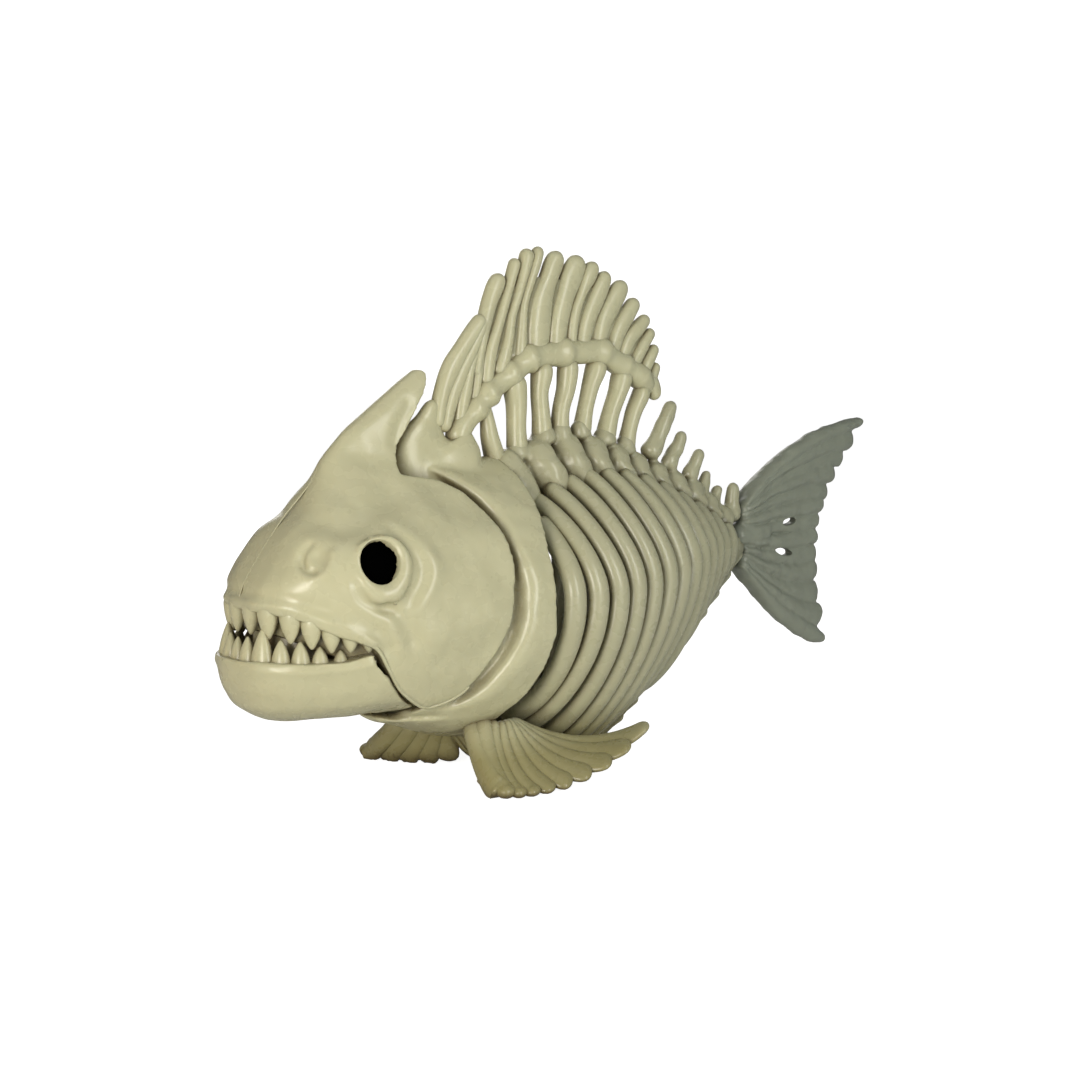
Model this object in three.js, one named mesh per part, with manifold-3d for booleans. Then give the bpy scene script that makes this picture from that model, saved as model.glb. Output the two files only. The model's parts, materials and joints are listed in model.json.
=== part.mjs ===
// A fish skeleton decoration moulded in bone-coloured plastic: a gaping toothed head, a collar, a chain of
// vertebrae, ribs that close on a belly keel, and the dorsal, breast and tail fins.
// Millimetres, +Z up, snout towards -X, the fish's left side towards -Y. It stands on its breast fins and
// keel.

import * as THREE from "three";
import { mergeVertices } from "three/addons/utils/BufferGeometryUtils.js";
import Module from "manifold-3d";

const wasm = await Module();
wasm.setup();

// ---------------------------------------------------------------- driving dimensions, in millimetres

const WALL = 2.4; // wall of the hollow head, the jaw and the collar
const GAP = 0.3; // between two pieces that meet
const FLOOR = 0; // level of the flats that the fish stands on
const HALF_GAP = GAP / 2;
const SLIVER = 0.15; // triangles thinner than this are melted into their neighbours

const HEAD_WIDEST_X = -72; // where the cheeks reach their full width
const JAW_WIDEST_X = -78;
const JAW_ARM_Y = 25.4; // inner arms of the jaw, inside the cheeks

const EYE_RADIUS = 7.3;
const EYE_DEPTH = 5.5;
const EYE_RING_RADIUS = 9.3;
const EYE_RING_TUBE = 2;
const EYE_CENTRE = [-121.8, -33.2, 86.8]; // left eye, the right one is its mirror image
const EYE_FACING = [-0.28, -0.92, 0.28];
const NOSTRIL_CENTRE = [-142.2, -22.6, 91.4];
const NOSTRIL_RADIUS = 3.6;

const TOOTH_RADIUS = 3.7;
const TOOTH_INSET = 3.4; // from the outside of the gum to the middle of a tooth
const UPPER_TOOTH_LENGTH = 9;
const LOWER_TOOTH_LENGTH = 11;

const COLLAR_HALF_WIDTH = 43.5;
const COLLAR_TOP = 120;
const COLLAR_BELT = 62; // height at which the collar is widest
const COLLAR_STEP = 6.6; // the lip under the cheeks is this much smaller
const COLLAR_REAR_X = -47;
const COLLAR_WALL = 3;
const COLLAR_LIP_LENGTH = 10;
const COLLAR_SPAN = [-110, -44]; // the egg-shaped tube is longer than the collar that is cut from it
const COLLAR_BORE_SPAN = [-112, -42];

const HALF_ROOM = 60; // half-width of a cutting plate that passes right through the fish

const SPINE_VERTEBRAE = 12;
const SPINE_SWELL = 0.07; // how much a vertebra's rim stands out, as a share of its radius
const TAIL_ROOT_X = 86;

const RIB_COUNT = 13;
const RIB_UPPER_POWER = 1.45; // 2 is a rib bowed like an ellipse, less is a straighter one
const RIB_LOWER_POWER = 1.6;
const FIRST_RIB_START = 0.16; // the first rib stops short of the spine by this share of its sweep
const RIB_THICKNESS = 3.7; // half of a rib's depth, outwards from the fish
const KEEL_HALF_WIDTH = 4.2;

const DORSAL_RAYS = 16;
const DORSAL_RAY_HALF_WIDTH = 4.3;
const DORSAL_RAY_HALF_DEPTH = 2.7;
const DORSAL_WEB_HALF_DEPTH = 1.2;
const DORSAL_BAR_RADIUS = 4.4;
const DORSAL_BAR_KNUCKLES = 7;

const BREAST_FIN_RAYS = 12;
const TAIL_FIN_RAYS = 12;

const BONE = 0xc4c3a1;
const BONE_SHADE = 0xa8a88a;
const TAIL_GREY = 0x84887a;
const TOOTHED = 0xc6c5a5;
const BLACK = 0x050505;

// ---------------------------------------------------------------- helpers

const LEFT = -1;
const RIGHT = 1;
const Y_AXIS = new THREE.Vector3(0, 1, 0);
const X_AXIS = new THREE.Vector3(1, 0, 0);

/** Straight-line table: gives the value at any key between the [key, value] rows, which run upwards. */
function table(rows) {
  return (at) => {
    const next = rows.findIndex(([key]) => key >= at);
    if (next === 0) return rows[0][1];
    if (next === -1) return rows[rows.length - 1][1];
    const [lowKey, low] = rows[next - 1];
    const [highKey, high] = rows[next];
    return THREE.MathUtils.mapLinear(at, lowKey, highKey, low, high);
  };
}

/** Smooth curve through [x, z] places on the middle plane. */
function middleCurve(places) {
  const points = places.map(([x, z]) => new THREE.Vector3(x, 0, z));
  return new THREE.CatmullRomCurve3(points, false, "centripetal");
}

/** Smooth curve through [x, y, z] places, on the side that `side` names: -1 left, 1 right. */
function sideCurve(places, side) {
  const points = places.map(([x, y, z]) => new THREE.Vector3(x, y * side, z));
  return new THREE.CatmullRomCurve3(points, false, "centripetal");
}

/** Point on the quadratic curve from root to tip that leans towards a control point. */
function bend(root, control, tip, along) {
  const near = root.clone().lerp(control, along);
  const far = control.clone().lerp(tip, along);
  return near.lerp(far, along);
}

/**
 * Closed barrel: a cylinder whose vertices are placed by a formula.
 * turn runs 0 to 1 round the barrel and along 0 to 1 from end to end. reach is 1 on the skin, and 0 at the
 * middle of a cap.
 */
function barrel(sides, steps, place) {
  const geometry = new THREE.CylinderGeometry(1, 1, 1, sides, steps);
  const positions = geometry.getAttribute("position");
  const vertex = new THREE.Vector3();
  for (let index = 0; index < positions.count; index += 1) {
    vertex.fromBufferAttribute(positions, index);
    const reach = Math.round(Math.hypot(vertex.x, vertex.z));
    const side = Math.round((Math.atan2(vertex.x, vertex.z) / (2 * Math.PI)) * sides);
    const turn = ((side + sides) % sides) / sides;
    const along = Math.round((vertex.y + 0.5) * steps) / steps;
    const spot = place(turn, along, reach);
    positions.setXYZ(index, spot.x, spot.y, spot.z);
  }
  return geometry;
}

/** Six times the volume inside a list of triangles, negative when they face inwards. */
function signedVolume(corners, triangles) {
  const points = [0, 1, 2].map(() => new THREE.Vector3());
  let volume = 0;
  for (let index = 0; index < triangles.length; index += 3) {
    points.forEach((point, corner) => point.fromArray(corners, 3 * triangles[index + corner]));
    volume += points[0].dot(points[1].clone().cross(points[2]));
  }
  return volume;
}

/** Solid for the booleans, made from a closed three.js geometry whichever way its triangles wind. */
function solid(geometry) {
  const bare = geometry.clone();
  bare.deleteAttribute("normal");
  bare.deleteAttribute("uv");
  const merged = mergeVertices(bare, 1e-4);
  const corners = Float32Array.from(merged.getAttribute("position").array);
  const triangles = [];
  for (let index = 0; index < merged.index.count; index += 3) {
    const [a, b, c] = [0, 1, 2].map((corner) => merged.index.getX(index + corner));
    const collapsed = a === b || b === c || c === a;
    if (!collapsed) triangles.push(a, b, c);
  }
  if (signedVolume(corners, triangles) < 0) triangles.reverse();
  const mesh = new wasm.Mesh({
    numProp: 3,
    vertProperties: corners,
    triVerts: Uint32Array.from(triangles),
  });
  return new wasm.Manifold(mesh);
}

/** One solid out of many that overlap. */
function joined(solids) {
  return solids.reduce((whole, piece) => whole.add(piece));
}

/** Box between two corners. */
function block([x0, y0, z0], [x1, y1, z1]) {
  const geometry = new THREE.BoxGeometry(x1 - x0, y1 - y0, z1 - z0);
  geometry.translate((x0 + x1) / 2, (y0 + y1) / 2, (z0 + z1) / 2);
  return solid(geometry);
}

/** Plate whose outline is drawn in the side view, [x, z], between two values of y. */
function sidePlate(outline, y0, y1) {
  const shape = new THREE.Shape(outline.map(([x, z]) => new THREE.Vector2(x, z)));
  const geometry = new THREE.ExtrudeGeometry(shape, { depth: y1 - y0, bevelEnabled: false });
  geometry.rotateX(Math.PI / 2);
  geometry.translate(0, y1, 0);
  return solid(geometry);
}

/** Places on a smooth curve through a few [x, z] places, for an outline. */
function rounded(places, count) {
  return middleCurve(places).getSpacedPoints(count).map(({ x, z }) => [x, z]);
}

/**
 * Limb: a tube along a curve with oval sections. across(along) is its half-width towards `flat`, and
 * depth(along) the half-width the other way. A domed tip ends in a smaller ring close behind its end.
 */
function limb(curve, { sides = 5, steps = 4, flat = Y_AXIS, across, depth = across, domed = true }) {
  const length = curve.getLength();
  return solid(
    barrel(sides, steps, (turn, along, reach) => {
      const ringBeforeTip = 1 - (0.7 * across(1)) / length;
      let at = along;
      if (domed && along < 1) at = (along * ringBeforeTip * steps) / (steps - 1);
      const narrowing = domed && along === 1 ? 0.55 : 1;
      const tangent = curve.getTangentAt(at);
      const side = flat.clone().addScaledVector(tangent, -flat.dot(tangent)).normalize();
      const other = tangent.clone().cross(side);
      const angle = turn * 2 * Math.PI;
      return curve
        .getPointAt(at)
        .addScaledVector(side, reach * narrowing * across(at) * Math.cos(angle))
        .addScaledVector(other, reach * narrowing * depth(at) * Math.sin(angle));
    }),
  );
}

/** Straight limb between two [x, z] places on the middle plane. */
function strut(root, tip, options) {
  const curve = new THREE.LineCurve3(
    new THREE.Vector3(root[0], 0, root[1]),
    new THREE.Vector3(tip[0], 0, tip[1]),
  );
  return limb(curve, options);
}

/**
 * Fan of rays: a plate between a root curve and a tip curve, with one ridge for each ray on both faces.
 * place(share, along) is a point of the middle layer and facing(share, along) its outward normal.
 */
function fan(rays, steps, place, facing, halfDepth, ridge) {
  const columns = 2 * rays; // a ridge and a groove for each ray
  return solid(
    barrel(2 * columns, steps, (turn, along, reach) => {
      const position = turn * 2 * columns;
      const front = position <= columns;
      const column = front ? position : 2 * columns - position;
      const share = reach === 0 ? 0.5 : column / columns;
      const onEdge = column === 0 || column === columns;
      const ridged = column % 2 === 1 ? ridge : 0;
      const offset = onEdge || reach === 0 ? 0 : halfDepth(along) + ridged;
      return place(share, along).addScaledVector(facing(share, along), front ? offset : -offset);
    }),
  );
}

// ---------------------------------------------------------------- head and jaw surfaces

// Snout profile on the middle plane and half-width of the cheeks, both by height.
const headFront = table([
  [31, -160],
  [72, -159.3],
  [80, -156.6],
  [88, -151.4],
  [96, -145.4],
  [103, -139.6],
  [114, -129],
  [123, -123.5],
  [131, -116],
  [138, -106.5],
  [145, -96.8],
  [153, -84.5],
]);
const headHalfWidth = table([
  [28, 24],
  [34, 30],
  [43, 35],
  [54, 39],
  [66, 41],
  [78, 40],
  [88, 38],
  [96, 34],
  [102, 28.5],
  [108, 22.5],
  [114, 16.5],
  [120, 11.5],
  [127, 8.5],
  [140, 6.4],
  [148, 5],
  [153, 3.2],
]);
const jawFront = table([
  [31, -149],
  [33, -153.5],
  [36, -158],
  [41, -161.3],
  [48, -163.3],
  [60, -164],
]);
const jawHalfWidth = table([
  [31, 14],
  [33, 22],
  [36, 28.5],
  [41, 33.5],
  [48, 37],
  [60, 38.8],
]);

// How blunt the snout is seen from above, by height: 2 is round, more is blunter.
const snoutPower = table([
  [72, 2.4],
  [82, 2.8],
  [95, 3],
  [104, 2.6],
  [115, 2.4],
]);

/** Half-width at a place along a blunt snout, from its front to its widest. */
function bluntHalfWidth(x, front, widest, halfWidth, power) {
  const share = THREE.MathUtils.clamp((x - front) / (widest - front), 0, 1);
  return halfWidth * (1 - (1 - share) ** power) ** (1 / power);
}

/** Stack of level sections, each blunt in front and open-sided to a flat rear. */
function bluntStack({ levels, columns, rear, front, widest, halfWidth }) {
  const sides = 2 * columns;
  return solid(
    barrel(sides, levels.length - 1, (turn, along, reach) => {
      const z = levels[Math.round(along * (levels.length - 1))];
      const side = Math.round(turn * sides);
      const column = Math.min(side, sides - side);
      const start = front(z);
      const share = (Math.min(column, columns - 1) / (columns - 1)) ** 2;
      const x = THREE.MathUtils.lerp(start, rear, share);
      const onMiddle = side % columns === 0 ? 0 : 1;
      const half = onMiddle * bluntHalfWidth(x, start, widest, halfWidth(z), snoutPower(z));
      const y = side < columns ? -half : half;
      return new THREE.Vector3(reach === 0 ? (start + rear) / 2 : x, reach === 0 ? 0 : y, z);
    }),
  );
}

/** Front of the same snout at gum height, at a distance y from the middle plane. */
function bluntFront(y, front, widest, halfWidth) {
  const power = snoutPower(0);
  const share = 1 - (1 - (y / halfWidth) ** power) ** (1 / power);
  return THREE.MathUtils.lerp(front, widest, share);
}

/** Tooth: a small lathe-turned cone on the +Z axis from its root, sunk a little into the gum, to its tip. */
function tooth(radius, length) {
  const sink = 2;
  const profile = [
    [0, -sink],
    [radius, -sink],
    [radius * 0.72, length * 0.45],
    [0, length],
  ].map(([x, y]) => new THREE.Vector2(x, y));
  return new THREE.LatheGeometry(profile, 6).rotateX(Math.PI / 2);
}

/** Teeth in pairs along a blunt jaw, pointing up (1) or down (-1). Each row of places is [y, size]. */
function teeth({ places, gumZ, front, widest, halfWidth, length, pointing }) {
  const set = [];
  for (const [y, size] of places) {
    const outside = bluntFront(y + 0.5, front, widest, halfWidth);
    const slope = outside - bluntFront(Math.abs(y - 0.5), front, widest, halfWidth);
    const inwards = new THREE.Vector2(1, -slope).normalize().multiplyScalar(TOOTH_INSET);
    const x = bluntFront(y, front, widest, halfWidth) + inwards.x;
    for (const side of y > 0 ? [LEFT, RIGHT] : [RIGHT]) {
      const geometry = tooth(TOOTH_RADIUS * size ** 0.6, length * size);
      if (pointing < 0) geometry.rotateX(Math.PI);
      geometry.translate(x, side * (y + inwards.y), gumZ(x));
      set.push(solid(geometry));
    }
  }
  return set;
}

// ---------------------------------------------------------------- eyes

/** Matrix that stands a piece built on +Z at a place on the left of the head, or mirrored on the right. */
function standOn(centre, facing, side) {
  const turn = new THREE.Quaternion().setFromUnitVectors(
    new THREE.Vector3(0, 0, 1),
    new THREE.Vector3(facing[0], -facing[1] * side, facing[2]).normalize(),
  );
  const place = new THREE.Vector3(centre[0], -centre[1] * side, centre[2]);
  return new THREE.Matrix4().compose(place, turn, new THREE.Vector3(1, 1, 1));
}

/** Black dish of one eye. */
function eye(side) {
  const profile = [
    [0, -EYE_DEPTH],
    [EYE_RADIUS, -EYE_DEPTH],
    [EYE_RADIUS, -0.4],
    [EYE_RADIUS - 1, 0],
    [EYE_RADIUS - 2.6, -1.6],
    [0, -2.4],
  ].map(([x, y]) => new THREE.Vector2(x, y));
  const dish = new THREE.LatheGeometry(profile, 14).rotateX(Math.PI / 2);
  return solid(dish.applyMatrix4(standOn(EYE_CENTRE, EYE_FACING, side)));
}

function eyeRing(side) {
  const ring = new THREE.TorusGeometry(EYE_RING_RADIUS, EYE_RING_TUBE, 5, 14);
  return solid(ring.applyMatrix4(standOn(EYE_CENTRE, EYE_FACING, side)));
}

function eyeHole(side) {
  const drill = new THREE.CylinderGeometry(EYE_RADIUS + GAP, EYE_RADIUS + GAP, 24, 14).rotateX(Math.PI / 2);
  return solid(drill.applyMatrix4(standOn(EYE_CENTRE, EYE_FACING, side)));
}

function nostrilDimple(side) {
  const ball = new THREE.SphereGeometry(NOSTRIL_RADIUS, 8, 6);
  ball.translate(NOSTRIL_CENTRE[0] - 1, NOSTRIL_CENTRE[1] * -side + side * 1.6, NOSTRIL_CENTRE[2] + 0.8);
  return solid(ball);
}

// ---------------------------------------------------------------- skull

const LIP = [
  [-156.7, 71.5],
  [-148.4, 68.6],
  [-137, 63.2],
  [-125.2, 58.6],
];
const CHEEK_FRONT = [
  [-125.2, 58.6],
  [-119.7, 51],
  [-113.3, 42.2],
  [-106.4, 36.7],
  [-99.6, 33.4],
];
const CHEEK_REAR = [
  [-99.6, 33.4],
  [-88.3, 36.4],
  [-80.7, 44.2],
  [-72, 58],
  [-68.4, 74],
  [-69.2, 93],
  [-73.8, 104.6],
  [-84.2, 113],
  [-99, 116.4],
];
const HORN_REAR = [
  [-99, 116.4],
  [-98, 122],
  [-90.5, 134],
  [-85.5, 141.5],
  [-81, 149],
  [-80.6, 152],
];

function skullOutline() {
  return [
    [-180, 72],
    ...LIP.slice(0, 3),
    ...rounded(CHEEK_FRONT, 6),
    ...rounded(CHEEK_REAR, 14).slice(1),
    ...rounded(HORN_REAR, 5).slice(1),
    [-83.5, 155],
    [-83.5, 160],
    [-180, 160],
  ];
}

function skull() {
  const outer = bluntStack({
    levels: [29, 40, 50, 60, 70, 80, 88, 96, 103, 109, 115, 121, 131, 142, 153],
    columns: 8,
    rear: -60,
    front: headFront,
    widest: HEAD_WIDEST_X,
    halfWidth: headHalfWidth,
  });
  const inner = bluntStack({
    levels: [25, 42, 58, 74, 88, 100, 110, 118, 124],
    columns: 7,
    rear: -55,
    front: (z) => headFront(z) + 1.4 * WALL,
    widest: HEAD_WIDEST_X,
    halfWidth: (z) => headHalfWidth(z + WALL / 2) - WALL,
  });
  const shell = outer.subtract(inner).intersect(sidePlate(skullOutline(), -HALF_ROOM, HALF_ROOM));
  const gum = table(LIP);
  const upperTeeth = teeth({
    places: [
      [6, 0.95],
      [15.5, 1],
      [22.3, 1],
      [27, 0.95],
      [30.4, 0.85],
      [33, 0.55],
    ],
    gumZ: (x) => gum(x) + 1,
    front: headFront(70),
    widest: HEAD_WIDEST_X,
    halfWidth: headHalfWidth(66),
    length: UPPER_TOOTH_LENGTH,
    pointing: -1,
  });
  const rings = [LEFT, RIGHT].map(eyeRing);
  const cuts = joined([...[LEFT, RIGHT].map(eyeHole), ...[LEFT, RIGHT].map(nostrilDimple)]);
  return joined([shell, ...rings, ...upperTeeth]).subtract(cuts);
}

// ---------------------------------------------------------------- lower jaw

const JAW_RIM = [
  [-158, 54.5],
  [-146, 53.9],
  [-134, 54.4],
  [-125.5, 56.2],
];
const JAW_REAR = [
  [-125.5, 56.2],
  [-124.6, 48.5],
  [-119, 41],
  [-112, 35.5],
  [-108, 30],
];

function lowerJaw() {
  const outer = bluntStack({
    levels: [31, 33, 36, 41, 48, 60],
    columns: 8,
    rear: -100,
    front: jawFront,
    widest: JAW_WIDEST_X,
    halfWidth: jawHalfWidth,
  });
  const inner = bluntStack({
    levels: [34, 38, 48, 62],
    columns: 7,
    rear: -95,
    front: (z) => jawFront(z - 1) + WALL,
    widest: JAW_WIDEST_X,
    halfWidth: (z) => jawHalfWidth(z - 1) - WALL,
  });
  const outline = [[-180, 55.2], ...JAW_RIM.slice(0, 3), ...rounded(JAW_REAR, 6), [-108, 20], [-180, 20]];
  const trough = outer.subtract(inner).intersect(sidePlate(outline, -HALF_ROOM, HALF_ROOM));
  const arms = [LEFT, RIGHT].map((side) => {
    const armOutline = [
      [-137, 42],
      [-126, 41],
      [-112, 35.5],
      [-107, 39],
      [-116, 49],
      [-137, 51],
    ];
    const [y0, y1] = [side * (JAW_ARM_Y - 1), side * (JAW_ARM_Y + 1.6)].sort((a, b) => a - b);
    return sidePlate(armOutline, y0, y1);
  });
  const gum = table(JAW_RIM);
  const lowerTeeth = teeth({
    places: [
      [0, 0.85],
      [7.5, 0.9],
      [16, 1.05],
      [22.2, 0.85],
      [26.2, 0.8],
      [29.4, 0.6],
      [32, 0.4],
    ],
    gumZ: (x) => gum(x) - 1,
    front: jawFront(55),
    widest: JAW_WIDEST_X,
    halfWidth: jawHalfWidth(55),
    length: LOWER_TOOTH_LENGTH,
    pointing: 1,
  });
  return joined([trough, ...arms, ...lowerTeeth]);
}

// ---------------------------------------------------------------- collar

const collarBottom = table([
  [-110, 27],
  [-100, 23.5],
  [-88, 19.5],
  [-75, 15.5],
  [-60, 13.5],
  [-44, 12],
]);

/** Egg-shaped tube along X, narrow at the top, smaller than the collar's outside by `inset`. */
function collarEgg(inset, [x0, x1]) {
  return solid(
    barrel(22, 3, (turn, along, reach) => {
      const x = THREE.MathUtils.lerp(x0, x1, along);
      const angle = turn * 2 * Math.PI;
      const up = Math.cos(angle);
      const out = Math.sin(angle);
      const top = COLLAR_TOP - COLLAR_BELT - inset;
      const bottom = COLLAR_BELT - collarBottom(x) - inset;
      const z = COLLAR_BELT + (up > 0 ? top : bottom) * up;
      const power = up > 0 ? 1.45 : 1.15;
      const y = (COLLAR_HALF_WIDTH - inset) * Math.sign(out) * Math.abs(out) ** power;
      return new THREE.Vector3(x, reach * y, reach === 0 ? COLLAR_BELT : z);
    }),
  );
}

// Front edge of the raised band, from the top of the collar down to the throat.
const BAND_FRONT = [
  [-95, 122],
  [-84, 117.4],
  [-74, 110.5],
  [-67, 101],
  [-63.8, 89],
  [-63, 72],
  [-66, 58],
  [-73, 46],
  [-82, 36],
  [-93, 30],
  [-106, 27],
];
const BAND_REAR = [
  [-67.5, 12],
  [-66.5, 20],
  [-62, 30],
  [-56, 41],
  [-52, 55],
  [-51, 70],
  [-49.5, 89],
  [COLLAR_REAR_X, 105],
  [COLLAR_REAR_X, 124],
];

/** Crest on top of the collar, where the dorsal fin stands. */
function collarCrest(grow = 0) {
  const levels = [
    { z: 109, x0: -83, x1: -49, half: 15 },
    { z: 113, x0: -88.5, x1: -50, half: 11 },
    { z: 117, x0: -92, x1: -53, half: 7.6 },
    { z: 122, x0: -92, x1: -61, half: 5.4 },
    { z: 128, x0: -86, x1: -68.5, half: 4 },
    { z: 135, x0: -81.6, x1: -71.2, half: 3.2 },
    { z: 142, x0: -76.8, x1: -72.8, half: 2.2 },
  ];
  return solid(
    barrel(10, levels.length - 1, (turn, along, reach) => {
      const { z, x0, x1, half } = levels[Math.round(along * (levels.length - 1))];
      const angle = turn * 2 * Math.PI;
      const x = (x0 + x1) / 2 + reach * (grow + (x1 - x0) / 2) * Math.cos(angle);
      return new THREE.Vector3(x, reach * (half + grow) * Math.sin(angle), z + (along === 1 ? grow : 0));
    }),
  );
}

/** Part of the egg-shaped shell inside an outline of the side view. */
function collarShell(inset, wall, outline) {
  return collarEgg(inset, COLLAR_SPAN)
    .subtract(collarEgg(inset + wall, COLLAR_BORE_SPAN))
    .intersect(sidePlate(outline, -HALF_ROOM, HALF_ROOM));
}

function shoulderGirdle() {
  const shifted = (places, by) => places.map(([x, z]) => [x + by, z]);
  const cheekEdge = BAND_FRONT.slice(2, -2);
  const bandOutline = [...BAND_FRONT, [-106, 10], [-67.5, 10], ...BAND_REAR];
  const flangeOutline = [...BAND_FRONT, ...shifted(BAND_FRONT, COLLAR_WALL).reverse()];
  const lipOutline = [
    ...shifted(cheekEdge, -COLLAR_LIP_LENGTH),
    ...shifted(cheekEdge, COLLAR_WALL / 2).reverse(),
  ];
  const band = collarShell(0, COLLAR_WALL, bandOutline);
  const flange = collarShell(0, COLLAR_STEP + WALL, flangeOutline);
  const lip = collarShell(COLLAR_STEP, WALL, lipOutline);
  const crest = collarCrest().subtract(collarEgg(COLLAR_WALL, COLLAR_BORE_SPAN));
  return joined([band, flange, lip, crest]);
}

// ---------------------------------------------------------------- spine

const SPINE = [
  [COLLAR_REAR_X - 4, 104.5],
  [-35, 110.5],
  [-20, 114.5],
  [-5, 115.8],
  [10, 113.6],
  [30, 108.6],
  [56, 99.6],
  [71, 91],
  [TAIL_ROOT_X + 3, 82.5],
];
const spineHalfHeight = table([
  [0, 13],
  [0.09, 14.8],
  [0.3, 12.8],
  [0.6, 9],
  [1, 6.2],
]);
const spineHalfWidth = table([
  [0, 11],
  [0.09, 12],
  [0.3, 10.6],
  [0.6, 7.6],
  [1, 5.8],
]);
const SPINE_SPIKES = [
  { root: [30.5, 113], tip: [45.5, 138.5], radius: 3.4 },
  { root: [42.5, 108], tip: [52.2, 126.5], radius: 3.3 },
  { root: [53, 103], tip: [63, 118.5], radius: 3.2 },
  { root: [62, 99], tip: [66.5, 110], radius: 2.8 },
  { root: [70, 94], tip: [73, 103], radius: 3 },
  { root: [79.5, 88], tip: [82, 103.5], radius: 3.3 },
];

function vertebrae(grow = 0) {
  const swell = (along) => 1 + SPINE_SWELL * Math.cos(2 * Math.PI * SPINE_VERTEBRAE * along);
  return limb(middleCurve(SPINE), {
    sides: 8,
    steps: 2 * SPINE_VERTEBRAE,
    across: (along) => spineHalfWidth(along) * swell(along) + grow,
    depth: (along) => spineHalfHeight(along) * swell(along) + grow,
    domed: false,
  });
}

function spine() {
  const spikes = SPINE_SPIKES.map(({ root, tip, radius }) => strut(root, tip, {
    steps: 3,
    across: (along) => radius * (1.15 - 0.3 * along),
  }));
  const between = block([COLLAR_REAR_X + GAP, -20, 70], [TAIL_ROOT_X - GAP, 20, 150]);
  return joined([vertebrae(), ...spikes]).intersect(between);
}

// ---------------------------------------------------------------- ribs and keel

// Each rib runs from beside the spine, round its widest place, to the keel. Rows are [rib, millimetres].
const RIB = {
  topX: table([[0, -39], [1, -35], [3, -18], [7, 22], [10, 53], [12, 71]]),
  topZ: table([[0, 99], [2, 107], [5, 112], [7, 108.5], [10, 96], [12, 87]]),
  midX: table([[0, -39.5], [3, -7], [7, 32], [9, 47], [12, 70]]),
  midZ: table([[0, 68], [3, 69], [9, 77.5], [12, 79]]),
  lowX: table([[0, -45], [1, -40], [2, -30], [5, -12], [7, 6], [8, 24], [12, 70]]),
  lowZ: table([[0, 20], [1, 15], [2, 10], [6, 8], [8, 23], [10, 47], [12, 66]]),
  halfWidth: table([[0, 39.5], [1, 40], [3, 37.5], [8, 24.5], [12, 10]]),
  across: table([[0, 4.7], [5, 4.4], [7, 4.8], [12, 4.5]]),
};
const RIB_TOP_Y = 7;
const RIB_LOW_Y = 2.4;

class RibCurve extends THREE.Curve {
  constructor(rib, side) {
    super();
    this.rib = rib;
    this.side = side;
    this.start = rib === 0 ? FIRST_RIB_START : 0;
  }

  getPoint(along, target = new THREE.Vector3()) {
    const { rib, side, start } = this;
    const sweep = start + (1 - start) * along;
    const upper = sweep < 0.5;
    const [endX, endZ] = upper ? [RIB.topX(rib), RIB.topZ(rib)] : [RIB.lowX(rib), RIB.lowZ(rib)];
    const power = upper ? RIB_UPPER_POWER : RIB_LOWER_POWER;
    const height = Math.abs(Math.cos(sweep * Math.PI));
    const bulge = Math.max(1 - height ** power, 0) ** (1 / power);
    const x = THREE.MathUtils.lerp(RIB.midX(rib), endX, height ** 1.5);
    const z = THREE.MathUtils.lerp(RIB.midZ(rib), endZ, height);
    const rest = THREE.MathUtils.lerp(RIB_TOP_Y, RIB_LOW_Y, sweep);
    const y = THREE.MathUtils.lerp(rest, RIB.halfWidth(rib), bulge);
    return target.set(x, side * y, z);
  }
}

const KEEL_UNDERSIDE = [
  [-67, 14],
  [-58, 5],
  [-47, FLOOR],
  [-9, FLOOR],
  [5, 5],
  [26, 20],
  [51, 39.5],
  [68.5, 57],
  [TAIL_ROOT_X - GAP, 75],
];
const KEEL_TOPSIDE = [
  [TAIL_ROOT_X - GAP, 81],
  [74, 80],
  [60, 64],
  [30, 33],
  [0, 14],
  [-40, 12],
  [-67, 19],
];

function ribs(side) {
  const bars = [];
  for (let rib = 0; rib < RIB_COUNT; rib += 1) {
    bars.push(limb(new RibCurve(rib, side), {
      sides: 6,
      steps: rib < 8 ? 7 : 4,
      flat: X_AXIS,
      across: (along) => RIB.across(rib) * (0.72 + 0.28 * Math.sin(along * Math.PI)),
      depth: () => RIB_THICKNESS * (1 - 0.02 * rib),
      domed: false,
    }));
  }
  const [y0, y1] = [side * HALF_GAP, side * KEEL_HALF_WIDTH].sort((a, b) => a - b);
  const keel = sidePlate([...KEEL_UNDERSIDE, ...KEEL_TOPSIDE], y0, y1);
  const [near, far] = [side * HALF_GAP, side * 70].sort((a, b) => a - b);
  const halfSpace = block([-66.7, near, FLOOR], [TAIL_ROOT_X - GAP, far, 130]);
  return joined([keel, ...bars]).intersect(halfSpace).subtract(vertebrae(GAP));
}

// ---------------------------------------------------------------- dorsal fin

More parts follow.
